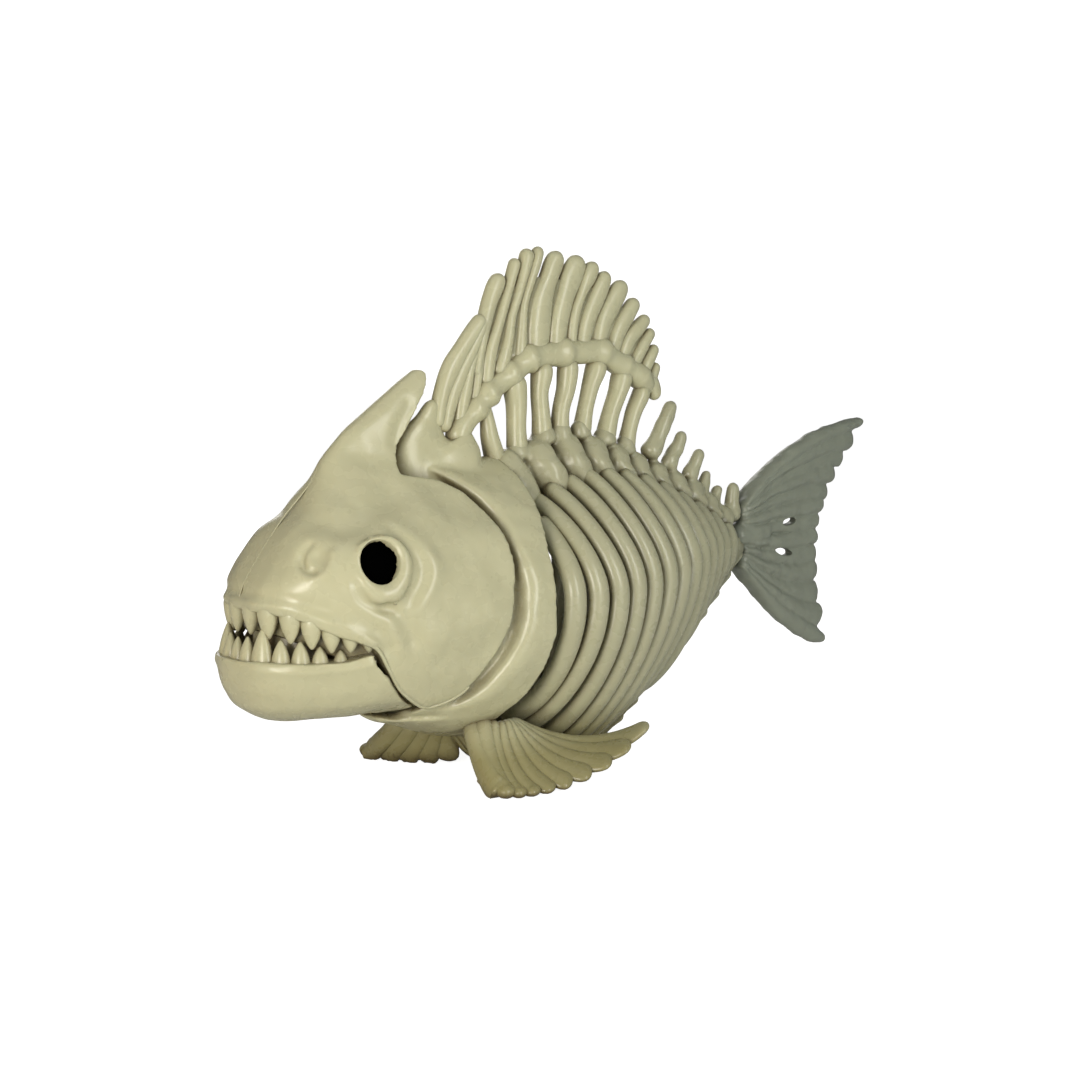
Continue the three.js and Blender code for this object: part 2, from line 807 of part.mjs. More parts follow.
const BAR = [
  [-68, 122],
  [-60, 134.5],
  [-50, 143.6],
  [-33.4, 154.6],
  [-10, 159],
  [10, 157.4],
  [25, 150],
  [35, 141.5],
];
const RAY_TIPS = [
  [-52.3, 176.5],
  [-36.2, 196.6],
  [-24, 201],
  [-3, 199.4],
  [19.4, 188.8],
  [35.2, 168.4],
  [37.6, 143.5],
];
const RAY_ROOTS = [
  [-74.5, 131.5],
  [-57, 142],
  [-40, 152],
  [-20, 160],
  [0, 162],
  [18, 157],
  [32, 147],
];
const STRUTS = [
  { top: [-58.5, 135], foot: [-49, 115], radius: 3.4 },
  { top: [-37.8, 150], foot: [-36.4, 118], radius: 5.4 },
  { top: [-24, 155], foot: [-23.2, 124], radius: 4.2 },
  { top: [-10.8, 157], foot: [-13.6, 124], radius: 3.8 },
  { top: [3.1, 156.5], foot: [-2.4, 124], radius: 3.8 },
  { top: [18.1, 152], foot: [9.4, 121], radius: 4.1 },
  { top: [28.5, 146], foot: [17.4, 118], radius: 3.8 },
];

function dorsalFin() {
  const tips = middleCurve(RAY_TIPS);
  const roots = middleCurve(RAY_ROOTS);
  const rays = [];
  for (let ray = 0; ray < DORSAL_RAYS; ray += 1) {
    const share = ray / (DORSAL_RAYS - 1);
    const root = roots.getPointAt(share);
    const tip = tips.getPointAt(share);
    rays.push(strut([root.x, root.z], [tip.x, tip.z], {
      sides: 6,
      steps: 2,
      across: () => DORSAL_RAY_HALF_DEPTH,
      depth: (along) => DORSAL_RAY_HALF_WIDTH * (1 - 0.18 * along),
    }));
  }
  const webOutline = [...rounded(RAY_ROOTS, 5), ...rounded(RAY_TIPS, 7).reverse()];
  const web = sidePlate(webOutline, -DORSAL_WEB_HALF_DEPTH, DORSAL_WEB_HALF_DEPTH);
  const bar = limb(middleCurve(BAR), {
    steps: 2 * DORSAL_BAR_KNUCKLES,
    across: (along) => DORSAL_BAR_RADIUS * (1 + 0.12 * Math.cos(2 * Math.PI * DORSAL_BAR_KNUCKLES * along)),
    domed: false,
  });
  const struts = STRUTS.map(({ top, foot, radius }) => strut(top, foot, {
    steps: 2,
    across: () => Math.min(radius, 3.9),
    depth: (along) => radius * (1 - 0.35 * along * (1 - along)),
    domed: false,
  }));
  const collar = collarEgg(-GAP, [COLLAR_SPAN[0], COLLAR_REAR_X + GAP]);
  const neighbours = joined([vertebrae(GAP), collarCrest(GAP), collar]);
  return joined([web, bar, ...rays, ...struts]).subtract(neighbours);
}

// ---------------------------------------------------------------- breast fins

const BREAST_ROOTS = [
  [-60, 9, 16],
  [-66, 13, 19],
  [-70, 18, 24],
  [-64, 22.5, 22.5],
  [-59.5, 23, 23],
  [-57.5, 21.5, 22.5],
  [-54.5, 18, 21],
];
const BREAST_MIDDLES = [
  [-60, 9.5, 6],
  [-70, 20, 7],
  [-78, 33.5, 8],
  [-76, 38, 5],
  [-67, 40, 5],
  [-50.5, 39, 3],
  [-24, 32, 1],
];
const BREAST_TIPS = [
  [-58, 10, 0],
  [-73, 28, 0],
  [-81, 46.5, 0],
  [-74, 51, 0],
  [-56, 50.5, 1.5],
  [-33, 52, 8],
  [-2.5, 44.5, 21.5],
];
const breastFinHalfDepth = table([[0, 3], [0.4, 1.6], [1, 1.2]]);

function breastFin(side) {
  const rows = [BREAST_ROOTS, BREAST_MIDDLES, BREAST_TIPS];
  const [roots, middles, tips] = rows.map((row) => sideCurve(row, side));
  const place = (share, along) => {
    const scallop = 1 - 0.05 * Math.abs(Math.cos(Math.PI * BREAST_FIN_RAYS * share));
    return bend(roots.getPoint(share), middles.getPoint(share), tips.getPoint(share), along * scallop);
  };
  const facing = (share, along) => {
    const nudge = 0.04;
    const low = Math.max(0, share - nudge);
    const high = Math.min(1, share + nudge);
    const sweep = place(high, along).sub(place(low, along));
    const reach = place(share, Math.min(1, along + nudge)).sub(place(share, Math.max(0, along - nudge)));
    return sweep.cross(reach).normalize();
  };
  const blade = fan(BREAST_FIN_RAYS, 4, place, facing, breastFinHalfDepth, 0.8);
  const aboveFloor = block([-110, -80, FLOOR], [20, 80, 60]);
  const neighbours = joined([collarEgg(-GAP, COLLAR_SPAN), collarFrontCover(side)]);
  return blade.intersect(aboveFloor).subtract(neighbours);
}

/** Room kept clear for the keel and the lowest ribs, which the fin's root must not enter. */
function collarFrontCover(side) {
  const [y0, y1] = [-side * 2, side * (KEEL_HALF_WIDTH + GAP)].sort((a, b) => a - b);
  return block([-67, y0, -1], [-40, y1, 22]);
}

// ---------------------------------------------------------------- tail fin

const TAIL_ROOTS = [
  [84, 95.5],
  [84, 90],
  [84, 76],
  [82, 67.5],
];
const TAIL_MIDDLES = [
  [115, 124],
  [112, 100],
  [112, 66],
  [120, 33],
];
const TAIL_TIPS = [
  [167, 132.5],
  [142, 99.5],
  [134.5, 70],
  [141.5, 25.5],
];
const TAIL_HOLES = [
  { from: [112.5, 85.2], to: [119, 86] },
  { from: [106, 73.6], to: [117.5, 71.4] },
];
const tailHalfDepth = table([[0, 5], [0.25, 2.6], [1, 1.4]]);

function tailFin() {
  const [roots, middles, tips] = [TAIL_ROOTS, TAIL_MIDDLES, TAIL_TIPS].map(middleCurve);
  const place = (share, along) => {
    const notch = Math.abs(Math.cos(Math.PI * TAIL_FIN_RAYS * share));
    const scallop = 1 - 0.06 * notch * Math.sin(Math.PI * share) ** 0.3;
    return bend(roots.getPoint(share), middles.getPoint(share), tips.getPoint(share), along * scallop);
  };
  const blade = fan(TAIL_FIN_RAYS, 5, place, () => Y_AXIS.clone(), tailHalfDepth, 0.9);
  const holes = TAIL_HOLES.map(({ from, to }) => strut(from, to, {
    steps: 3,
    across: () => 9,
    depth: () => 1.6,
  }));
  const behindRoot = block([TAIL_ROOT_X, -20, 0], [180, 20, 150]);
  return blade.intersect(behindRoot).subtract(joined(holes));
}

// ---------------------------------------------------------------- scene graph

const group = new THREE.Group();

/** Puts a finished solid into the group as a named mesh of one colour. */
function addPiece(name, piece, color, roughness = 0.42) {
  const { numProp, vertProperties, triVerts } = piece.asOriginal().simplify(SLIVER).getMesh();
  const geometry = new THREE.BufferGeometry();
  const corners = new Float32Array((vertProperties.length / numProp) * 3);
  for (let index = 0; index < corners.length / 3; index += 1) {
    corners.set(vertProperties.subarray(index * numProp, index * numProp + 3), 3 * index);
  }
  geometry.setAttribute("position", new THREE.BufferAttribute(corners, 3));
  geometry.setIndex(new THREE.BufferAttribute(Uint32Array.from(triVerts), 1));
  geometry.computeVertexNormals();
  const mesh = new THREE.Mesh(geometry, new THREE.MeshStandardMaterial({ color, roughness, metalness: 0 }));
  mesh.name = name;
  group.add(mesh);
}

const leftRibs = ribs(LEFT).asOriginal().simplify(SLIVER);
addPiece("skull", skull(), BONE);
addPiece("lower_jaw", lowerJaw(), TOOTHED);
addPiece("eye_left", eye(LEFT), BLACK, 0.5);
addPiece("eye_right", eye(RIGHT), BLACK, 0.5);
addPiece("shoulder_girdle", shoulderGirdle(), BONE);
addPiece("spine", spine(), BONE_SHADE);
addPiece("ribs_left", leftRibs, BONE_SHADE);
addPiece("ribs_right", leftRibs.mirror([0, 1, 0]), BONE_SHADE);
addPiece("dorsal_fin", dorsalFin(), BONE_SHADE);
addPiece("pectoral_fin_left", breastFin(LEFT), BONE_SHADE);
addPiece("pectoral_fin_right", breastFin(RIGHT), BONE_SHADE);
addPiece("tail_fin", tailFin(), TAIL_GREY);

// The origin lies under the middle of the fish, on the floor.
const bounds = new THREE.Box3().setFromObject(group);
const middle = bounds.getCenter(new THREE.Vector3());
group.children.forEach((mesh) => mesh.geometry.translate(-middle.x, 0, -bounds.min.z));

export default group;
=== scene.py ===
# %% [markdown]
# # A toothed fish skeleton, moulded in bone-coloured plastic
# The real thing is a decoration: glossy hollow plastic, moulded in a few shells, with sculpted bones.
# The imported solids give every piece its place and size. This lesson puts a fine, smooth skin over each
# of them, so that the mould's soft edges, knuckles and grooves show, and then paints, lights and frames
# the fish.

# %% Load the frame
import json
import math

import bmesh
import bpy
import numpy as np
from mathutils import Matrix, Vector, noise

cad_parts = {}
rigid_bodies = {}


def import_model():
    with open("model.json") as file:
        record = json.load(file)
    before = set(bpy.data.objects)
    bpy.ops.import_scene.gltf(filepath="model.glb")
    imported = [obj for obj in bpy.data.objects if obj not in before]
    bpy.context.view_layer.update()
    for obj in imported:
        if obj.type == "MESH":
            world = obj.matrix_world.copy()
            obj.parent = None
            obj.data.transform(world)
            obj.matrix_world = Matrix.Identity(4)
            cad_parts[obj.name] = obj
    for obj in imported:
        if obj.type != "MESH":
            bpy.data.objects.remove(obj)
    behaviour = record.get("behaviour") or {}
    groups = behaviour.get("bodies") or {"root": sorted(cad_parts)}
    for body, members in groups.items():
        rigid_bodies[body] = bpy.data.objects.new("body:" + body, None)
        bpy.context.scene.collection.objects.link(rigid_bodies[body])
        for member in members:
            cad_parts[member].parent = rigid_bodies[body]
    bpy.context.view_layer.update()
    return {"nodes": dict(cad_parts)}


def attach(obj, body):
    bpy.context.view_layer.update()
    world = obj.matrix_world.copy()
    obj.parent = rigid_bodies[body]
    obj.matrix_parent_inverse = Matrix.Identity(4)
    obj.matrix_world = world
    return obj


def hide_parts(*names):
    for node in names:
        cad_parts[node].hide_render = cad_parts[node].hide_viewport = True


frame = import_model()

# %% [markdown]
# The camera comes first, because every later choice is judged through it. It stands low, in front of
# the fish's left side, with a longish lens, so that the gaping head comes towards the viewer.

# %% Camera
TARGET = Vector((-0.02615, 0.0, 0.0865))
CAMERA_DISTANCE = 0.700
CAMERA_AZIMUTH = math.radians(39.0)  # from square on the left side towards the snout
CAMERA_ELEVATION = math.radians(6.0)
LENS_MM = 59.5  # on a sensor 36 mm wide

camera = bpy.data.objects.new("camera", bpy.data.cameras.new("camera"))
bpy.context.scene.collection.objects.link(camera)
bpy.context.scene.camera = camera
away = Vector((
    -math.sin(CAMERA_AZIMUTH) * math.cos(CAMERA_ELEVATION),
    -math.cos(CAMERA_AZIMUTH) * math.cos(CAMERA_ELEVATION),
    math.sin(CAMERA_ELEVATION),
))
camera.location = TARGET + CAMERA_DISTANCE * away
camera.rotation_euler = (-away).to_track_quat("-Z", "Y").to_euler()
camera.data.sensor_width = 36.0
camera.data.lens = LENS_MM
camera.data.clip_start = 0.01
print("camera at", [round(v, 4) for v in camera.location])

# %% [markdown]
# The shapes are worked out in millimetres, in the drawing's own frame, whose zero lies 1.65 mm behind
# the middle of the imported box. Two helpers turn a few driving sizes into smooth curves: one gives a
# value at any key of a table, the other gives evenly spaced points along a path.

# %% Smooth tables and paths
MM = 0.001
DRAWN_BEHIND = 1.65
TO_FRAME = Matrix.Scale(MM, 4) @ Matrix.Translation((-DRAWN_BEHIND, 0.0, 0.0))
LEFT = -1
RIGHT = 1


def smooth_table(rows):
    """Smooth curve through [key, value] rows: the value at any key."""
    keys, values = np.array(rows, float).T
    slopes = np.gradient(values, keys)

    def value(key):
        last = len(keys) - 2
        low = np.clip(np.searchsorted(keys, key) - 1, 0, last)
        width = keys[low + 1] - keys[low]
        t = np.clip((key - keys[low]) / width, 0.0, 1.0)
        bend = t * t * (3 - 2 * t)
        rise = width * (slopes[low] * (t - 2 * t**2 + t**3) + slopes[low + 1] * (t**3 - t**2))
        return values[low] * (1 - bend) + values[low + 1] * bend + rise

    return value


def smooth_path(rows, count):
    """Evenly spaced rows along a smooth curve through a few rows of x, y, z and any sizes with them."""
    rows = np.array(rows, float)
    steps = np.linalg.norm(np.diff(rows[:, :3], axis=0), axis=1)
    chord = np.concatenate([[0.0], np.cumsum(steps)])
    fine = np.linspace(0.0, chord[-1], 12 * len(rows))
    if len(rows) > 2:
        tables = [smooth_table(np.column_stack([chord, column])) for column in rows.T]
        dense = np.column_stack([table(fine) for table in tables])
    else:
        dense = np.column_stack([np.interp(fine, chord, column) for column in rows.T])
    steps = np.linalg.norm(np.diff(dense[:, :3], axis=0), axis=1)
    length = np.concatenate([[0.0], np.cumsum(steps)])
    even = np.linspace(0.0, length[-1], count)
    return np.column_stack([np.interp(even, length, column) for column in dense.T])


print("drawing frame: packed x =", -DRAWN_BEHIND, "mm + drawn x")

# %% [markdown]
# Most bones are bars: an oval section that travels along a path, swells and thins, and ends in a dome.
# A bar starts as a circle, and each step extrudes its rim and moves the new rim with one matrix. The
# matrix also carries the section's two half-widths, so one helper makes ribs, rays, spikes, struts and
# knuckles.

# %% Bars
DOME_STEPS = (0.02, 0.12, 0.3, 0.6, 1.0)  # shares of the end's radius at which a dome has a ring


def domed(rows, start, end):
    """The rows of a path, with rings added at its ends where the bar closes in a dome."""
    length = np.concatenate([[0.0], np.cumsum(np.linalg.norm(np.diff(rows[:, :3], axis=0), axis=1))])
    total = length[-1]
    radii = (rows[0, 3:5].mean(), rows[-1, 3:5].mean())
    radii = [min(radius, 0.45 * total) for radius in radii]
    places = list(np.linspace(0.0, total, len(rows)))
    if start:
        places = [radii[0] * share for share in DOME_STEPS] + [p for p in places if p > 1.1 * radii[0]]
    if end:
        places = [p for p in places if p < total - 1.1 * radii[1]]
        places += [total - radii[1] * share for share in reversed(DOME_STEPS)]
    result = np.column_stack([np.interp(places, length, column) for column in rows.T])
    for row, place in zip(result, places):
        if start and place < radii[0]:
            row[3:5] *= math.sqrt(1 - (1 - place / radii[0]) ** 2)
        if end and total - place < radii[1]:
            row[3:5] *= math.sqrt(1 - (1 - (total - place) / radii[1]) ** 2)
    return result


def bar(bm, rows, flat=(0.0, 1.0, 0.0), sides=14, count=20, start=True, end=True):
    """Adds a bar to bm. Rows are x, y, z, half-width square to `flat`, and half-width along `flat`."""
    rows = domed(smooth_path(rows, count), start, end)
    tangents = np.gradient(rows[:, :3], axis=0)
    ring, rim, before = [], [], None
    for row, tangent in zip(rows, tangents):
        along = Vector(tangent).normalized()
        wide = Vector(flat)
        wide = (wide - along * wide.dot(along)).normalized()
        side = along.cross(wide)
        station = Matrix((side * row[3], wide * row[4], along)).transposed().to_4x4()
        station.translation = Vector(row[:3])
        if before is None:
            made = bmesh.ops.create_circle(bm, cap_ends=False, segments=sides, radius=1.0, matrix=station)
            ring = made["verts"]
            rim = list({edge for vertex in ring for edge in vertex.link_edges})
            bmesh.ops.contextual_create(bm, geom=rim)
        else:
            made = bmesh.ops.extrude_edge_only(bm, edges=rim)["geom"]
            ring = [item for item in made if isinstance(item, bmesh.types.BMVert)]
            fresh = set(ring)
            edges = [item for item in made if isinstance(item, bmesh.types.BMEdge)]
            rim = [edge for edge in edges if fresh.issuperset(edge.verts)]
            bmesh.ops.transform(bm, matrix=station @ before.inverted(), verts=ring)
        before = station
    bmesh.ops.contextual_create(bm, geom=rim)


print("bars close in domes of", len(DOME_STEPS), "rings")

# %% [markdown]
# Shells such as the head, jaw and collar are barrels: a cylinder with many sides and rings, whose
# vertices a formula places. Outlines seen from the side become plates that cut them.

# %% Barrels and plates
def barrel(bm, sides, steps, place, closed_ring=False):
    """Adds a cylinder whose vertices `place(turn, along)` puts in place. Turn runs 0 to 1 round it.

    Its ends are capped, or joined to each other where the profile closes on itself."""
    made = bmesh.ops.create_cone(
        bm, cap_ends=not closed_ring, segments=sides, radius1=1.0, radius2=1.0, depth=1.0
    )["verts"]
    uprights = [e for v in made for e in v.link_edges if abs(e.verts[0].co.z - e.verts[1].co.z) > 0.5]
    bmesh.ops.subdivide_edges(bm, edges=list(set(uprights)), cuts=steps - 1, use_grid_fill=True)
    for vertex in bm.verts:
        turn = (math.atan2(vertex.co.y, vertex.co.x) / (2 * math.pi)) % 1.0
        turn = round(turn * sides) / sides % 1.0
        vertex.co = place(turn, round((vertex.co.z + 0.5) * steps) / steps)
    if closed_ring:
        bmesh.ops.bridge_loops(bm, edges=[edge for edge in bm.edges if edge.is_boundary])


def plate(bm, outline, y0, y1):
    """Adds a plate between two values of y whose outline is drawn in the side view, as [x, z] rows."""
    corners = [bm.verts.new((x, y0, z)) for x, z in outline]
    face = bm.faces.new(corners)
    made = bmesh.ops.extrude_face_region(bm, geom=[face])["geom"]
    fresh = [item for item in made if isinstance(item, bmesh.types.BMVert)]
    bmesh.ops.translate(bm, vec=(0.0, y1 - y0, 0.0), verts=fresh)


def rounded(places, count):
    """Evenly spaced [x, z] places on a smooth curve through a few [x, z] places."""
    rows = [[x, 0.0, z] for x, z in places]
    return [[x, z] for x, _, z in smooth_path(rows, count)]


print("a barrel is placed by turn, 0 to 1 round it, and along, 0 to 1 up it")

# %% [markdown]
# A mould has no hard inner corners: where two bones meet, the steel was cut with a round tool. A voxel
# remesh gives the same look. It wraps one closed skin round all the overlapping bars of a piece, and a
# few rounds of smoothing then round its edges and fill its corners a little. The master was carved by
# hand, so the skin then swells and sinks a little too.

# %% From shapes to skins
def shape(name, build):
    """New object, in drawing millimetres, from a function that fills a bmesh."""
    bm = bmesh.new()
    build(bm)
    bmesh.ops.recalc_face_normals(bm, faces=bm.faces)
    mesh = bpy.data.meshes.new(name)
    bm.to_mesh(mesh)
    bm.free()
    made = bpy.data.objects.new(name, mesh)
    bpy.context.scene.collection.objects.link(made)
    return made


def finished(target):
    """Applies the modifiers of an object to its mesh."""
    graph = bpy.context.evaluated_depsgraph_get()
    mesh = bpy.data.meshes.new_from_object(target.evaluated_get(graph))
    target.modifiers.clear()
    old = target.data
    target.data = mesh
    bpy.data.meshes.remove(old)
    mesh.name = target.name


def cut(target, tool, operation):
    """Joins, cuts or trims target with tool, and drops the tool."""
    modifier = target.modifiers.new("cut", "BOOLEAN")
    modifier.solver = "EXACT"
    modifier.operation = operation
    modifier.object = tool
    finished(target)
    bpy.data.objects.remove(tool)


def joined(target, extra):
    """Adds the mesh of another object to target, and drops that object."""
    bm = bmesh.new()
    bm.from_mesh(target.data)
    bm.from_mesh(extra.data)
    bm.to_mesh(target.data)
    bm.free()
    bpy.data.objects.remove(extra)


def places_and_normals(mesh):
    """Places and outward directions of all corners of a mesh, as two tables."""
    places = np.empty(3 * len(mesh.vertices))
    mesh.vertices.foreach_get("co", places)
    normals = np.empty(3 * len(mesh.vertices))
    mesh.vertex_normals.foreach_get("vector", normals)
    return places.reshape(-1, 3), normals.reshape(-1, 3)


def uneven(target, swells, calm=0.1):
    """Lets the surface swell and sink a little, as on a hand-carved master. Swells are (size, height).

    They fade out towards the middle plane, from a little more than the distance calm."""
    places, normals = places_and_normals(target.data)
    lift = np.array([
        sum(height * noise.noise(place / size) for size, height in swells) for place in places
    ])
    lift *= np.clip(np.abs(places[:, 1]) / calm - 0.2, 0.0, 1.0)
    target.data.vertices.foreach_set("co", (places + normals * lift[:, None]).ravel())
    target.data.update()


def skin(target, voxel, rounds):
    """Wraps one closed skin round the overlapping shapes of target and smooths it."""
    remesh = target.modifiers.new("skin", "REMESH")
    remesh.mode = "VOXEL"
    remesh.voxel_size = voxel
    relax = target.modifiers.new("relax", "SMOOTH")
    relax.factor = 0.5
    relax.iterations = rounds
    finished(target)


print("skins are wrapped in millimetres, round closed shapes")

# %% [markdown]
# The sculptor's tool works on the finished skin: it raises a ridge or presses a groove along a line
# that is drawn in the side view, on both flanks at once, and fades it with the distance from the line.

# %% Sculpting tool
def sculpt(target, strokes):
    """Each stroke is (places, width, height): positive heights stand out, negative ones press in.

    Places are [x, z] in the side view, or [x, y, z] on the right flank, and work on both flanks."""
    mesh = target.data
    places, normals = places_and_normals(mesh)
    outwards = np.sign(places[:, 1]) * normals[:, 1] > -0.05
    move = np.zeros(len(places))
    folded = places * [1, 0, 1] + np.abs(places) * [0, 1, 0]
    for path, width, height in strokes:
        flat = len(path[0]) == 2
        here = folded * ([1, 0, 1] if flat else [1, 1, 1])
        line = np.array([[x, 0.0, z] for x, z in path] if flat else path, float)
        if len(line) > 1:
            line = smooth_path(line, 24)
        nearest = np.linalg.norm(here - line[0], axis=1)
        for start, end in zip(line[:-1], line[1:]):
            step = end - start
            share = np.clip((here - start) @ step / (step @ step), 0.0, 1.0)
            nearest = np.minimum(nearest, np.linalg.norm(here - start - share[:, None] * step, axis=1))
        move += height * np.exp(-((nearest / width) ** 2))
    move *= outwards
    mesh.vertices.foreach_set("co", (places + normals * move[:, None]).ravel())
    mesh.update()


print("strokes work on both flanks, and fade with the distance from their line")

# %% [markdown]
# The last helper hands a skin over to the frame: millimetres become metres, the piece rides on the
# body, stands for its solid and takes its material slot.

# %% Handing over
HANDED = {}


def hand_over(target, node, slot):
    HANDED[target.name] = slot
    for vertex in target.data.vertices:
        vertex.co.z = max(vertex.co.z, 0.0)
    target.data.transform(TO_FRAME)
    target.data.shade_smooth()
    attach(target, "root")
    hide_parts(node)
    triangles = sum(len(face.vertices) - 2 for face in target.data.polygons)
    print(f"{target.name}: {triangles} triangles")


# %% [markdown]
# The head is a thin shell, blunt in front and open behind. Seen from above, each level is the same
# superellipse, and three tables give its front, its half-width and how square it is at every height.
# The rear stays flat, because the cheek's outline is cut afterwards.

# %% Head and jaw surfaces
HEAD_WIDEST_X = -72.0
JAW_WIDEST_X = -78.0
WALL = 2.4

head_front = smooth_table([
    [31, -160], [60, -160], [72, -159.3], [80, -156.6], [88, -151.4], [96, -145.4], [103, -139.6],
    [114, -129], [123, -123.5], [131, -116], [138, -106.5], [145, -96.8], [150, -89.8], [153.4, -84.5],
])
head_half_width = smooth_table([
    [28, 24], [34, 30], [43, 35], [54, 39], [66, 41], [78, 40], [88, 38], [96, 34], [102, 28.5],
    [108, 22.5], [114, 16.5], [120, 11.5], [127, 8.5], [140, 6.4], [148, 5], [153.4, 3.2],
])
head_power = smooth_table([[60, 2.4], [72, 2.4], [82, 2.8], [95, 3.0], [104, 2.6], [115, 2.4], [153, 2.4]])
jaw_front = smooth_table([[31, -149], [33, -153.5], [36, -158], [41, -161.3], [48, -163.3], [60, -164]])
jaw_half_width = smooth_table([[31, 14], [33, 22], [36, 28.5], [41, 33.5], [48, 37], [60, 38.8]])
jaw_power = smooth_table([[31, 2.4], [60, 2.4]])
UPPER_ARCH = {
    "front": float(head_front(70)), "widest": HEAD_WIDEST_X, "half_width": float(head_half_width(66)),
}
LOWER_ARCH = {
    "front": float(jaw_front(55)), "widest": JAW_WIDEST_X, "half_width": float(jaw_half_width(55)),
}


def blunt_half_width(x, front, widest, half_width, power):
    share = min(max((x - front) / (widest - front), 0.0), 1.0)
    return half_width * (1 - (1 - share) ** power) ** (1 / power)


def blunt_front(y, front, widest, half_width, power):
    share = 1 - (1 - (abs(y) / half_width) ** power) ** (1 / power)
    return front + (widest - front) * share


def blunt_stack(bm, low, high, steps, columns, rear, front, widest, half_width, power):
    """Level sections from low to high, each blunt in front, with a flat rear."""
    sides = 2 * columns

    def place(turn, along):
        z = low + (high - low) * along
        side = round(turn * sides)
        column = min(side, sides - side)
        start = float(front(z))
        share = (min(column, columns - 1) / (columns - 1)) ** 2
        x = start + (rear - start) * share
        y = 0.0
        if side % columns:
            y = blunt_half_width(x, start, widest, float(half_width(z)), float(power(z)))
        return Vector((x, y if side > columns else -y, z))

    barrel(bm, sides, steps, place)


print("over the cheeks:", round(2 * float(head_half_width(66)), 1), "mm")

# %% [markdown]
# Teeth are turned shapes: a short profile is spun about its own axis. Each has a swollen root, slightly
# bowed flanks and a blunt tip, as moulded teeth do, and leans a little outwards from the gum.

# %% Teeth
TOOTH_PROFILE = [  # shares of the radius and of the length, from the root to the tip
    (0.0, -0.3), (0.9, -0.28), (1.0, 0.0), (0.95, 0.16), (0.84, 0.36), (0.67, 0.57), (0.46, 0.76),
    (0.27, 0.9), (0.12, 0.975), (0.0, 1.0),
]
TOOTH_FLATNESS = 0.78  # a tooth's depth over its width


def tooth(bm, base, pointing, inwards, radius, length, lean):
    """Adds one tooth at a place of the gum, pointing up (1) or down (-1) and wider than it is deep."""
    verts = [bm.verts.new((radius * wide, 0.0, length * high)) for wide, high in TOOTH_PROFILE]
    edges = [bm.edges.new(pair) for pair in zip(verts, verts[1:])]
    bmesh.ops.spin(
        bm, geom=verts + edges, cent=(0, 0, 0), axis=(0, 0, 1), angle=2 * math.pi, steps=20, use_merge=True
    )
    fresh = [vertex for vertex in bm.verts if not vertex.tag]
    bmesh.ops.remove_doubles(bm, verts=fresh, dist=1e-4)
    fresh = [vertex for vertex in bm.verts if not vertex.tag]
    thick = Vector(inwards).normalized()
    tip = (Vector((0, 0, pointing)) - lean * thick).normalized()
    across = tip.cross(thick).normalized()
    place = Matrix((TOOTH_FLATNESS * thick, across, tip)).transposed().to_4x4()
    place.translation = Vector(base)
    bmesh.ops.transform(bm, matrix=place, verts=fresh)
    for vertex in fresh:
        vertex.tag = True


def teeth(bm, places, gum, front, widest, half_width, power, length, pointing, radius, inset, outwards):
    """Teeth in pairs along a blunt jaw. Each row of places is [y, size, share of the radius]."""
    for y, size, girth in places:
        ahead = blunt_front(y + 0.5, front, widest, half_width, power)
        slope = ahead - blunt_front(y - 0.5, front, widest, half_width, power)
        inwards = Vector((1.0, -slope, 0.0)).normalized()
        x = blunt_front(y, front, widest, half_width, power) + inset * inwards.x
        for side in (LEFT, RIGHT) if y > 0 else (RIGHT,):
            base = (x, side * (y + inset * inwards.y), float(gum(x)))
            facing = (inwards.x, side * inwards.y, 0.0)
            tooth(bm, base, pointing, facing, radius * girth, length * size, outwards)


print("a tooth is turned from", len(TOOTH_PROFILE), "places")

# %% [markdown]
# The skull: an outer stack less an inner one leaves the wall, and a plate of the cheek's outline trims
# both flanks. A ring round each eye joins it before the skin is wrapped.

# %% Skull
EYE_CENTRE = (-121.8, -33.2, 86.8)
EYE_FACING = (-0.28, -0.92, 0.28)
EYE_RADII = (6.7, 7.5)  # of the black oval
EYE_SHIFT = (-0.6, 1.0)  # of that oval from the middle of the eye, backwards and upwards
EYE_SUNK = 1.3
LIP = [[-156.7, 71.5], [-148.4, 68.6], [-137, 63.2], [-125.2, 58.6]]
CHEEK_FRONT = [[-125.2, 58.6], [-119.7, 51], [-113.3, 42.2], [-106.4, 36.7], [-99.6, 33.4]]
CHEEK_REAR = [
    [-99.6, 33.4], [-88.3, 36.4], [-80.7, 44.2], [-72, 58], [-68.4, 74], [-69.2, 93], [-73.8, 104.6],
    [-84.2, 113], [-99, 116.4],
]
HORN_REAR = [[-99, 116.4], [-98, 122], [-90.5, 134], [-85.5, 141.5], [-81, 149], [-80.6, 152]]


def eye_matrix(side):
    facing = Vector((EYE_FACING[0], -EYE_FACING[1] * side, EYE_FACING[2])).normalized()
    turn = facing.to_track_quat("Z", "Y").to_matrix().to_4x4()
    return Matrix.Translation((EYE_CENTRE[0], -EYE_CENTRE[1] * side, EYE_CENTRE[2])) @ turn


def eye_ring(bm, side):
    """Leaf-shaped ring round the eye: thin in front and on top, and swollen behind and below."""
    place = eye_matrix(side)
    rows = []
    for step in range(41):
        angle = 2 * math.pi * step / 40
        back, up = math.cos(angle), math.sin(angle)
        across = back * (8.6 + 0.55 * back) + 0.9 * up * up
        half = 2.0 + 0.5 * back + 0.6 * up * up - 1.15 * up * abs(up)
        rise = up * (9.9 - 1.3 * up)
        spot = place @ Vector((-side * (across + EYE_SHIFT[0]), rise + EYE_SHIFT[1], 0.15))
        rows.append([*spot, half, 1.5 + 0.32 * half])
    facing = tuple(place.to_3x3() @ Vector((0, 0, 1)))
    bar(bm, rows, flat=facing, sides=12, count=60, start=False, end=False)


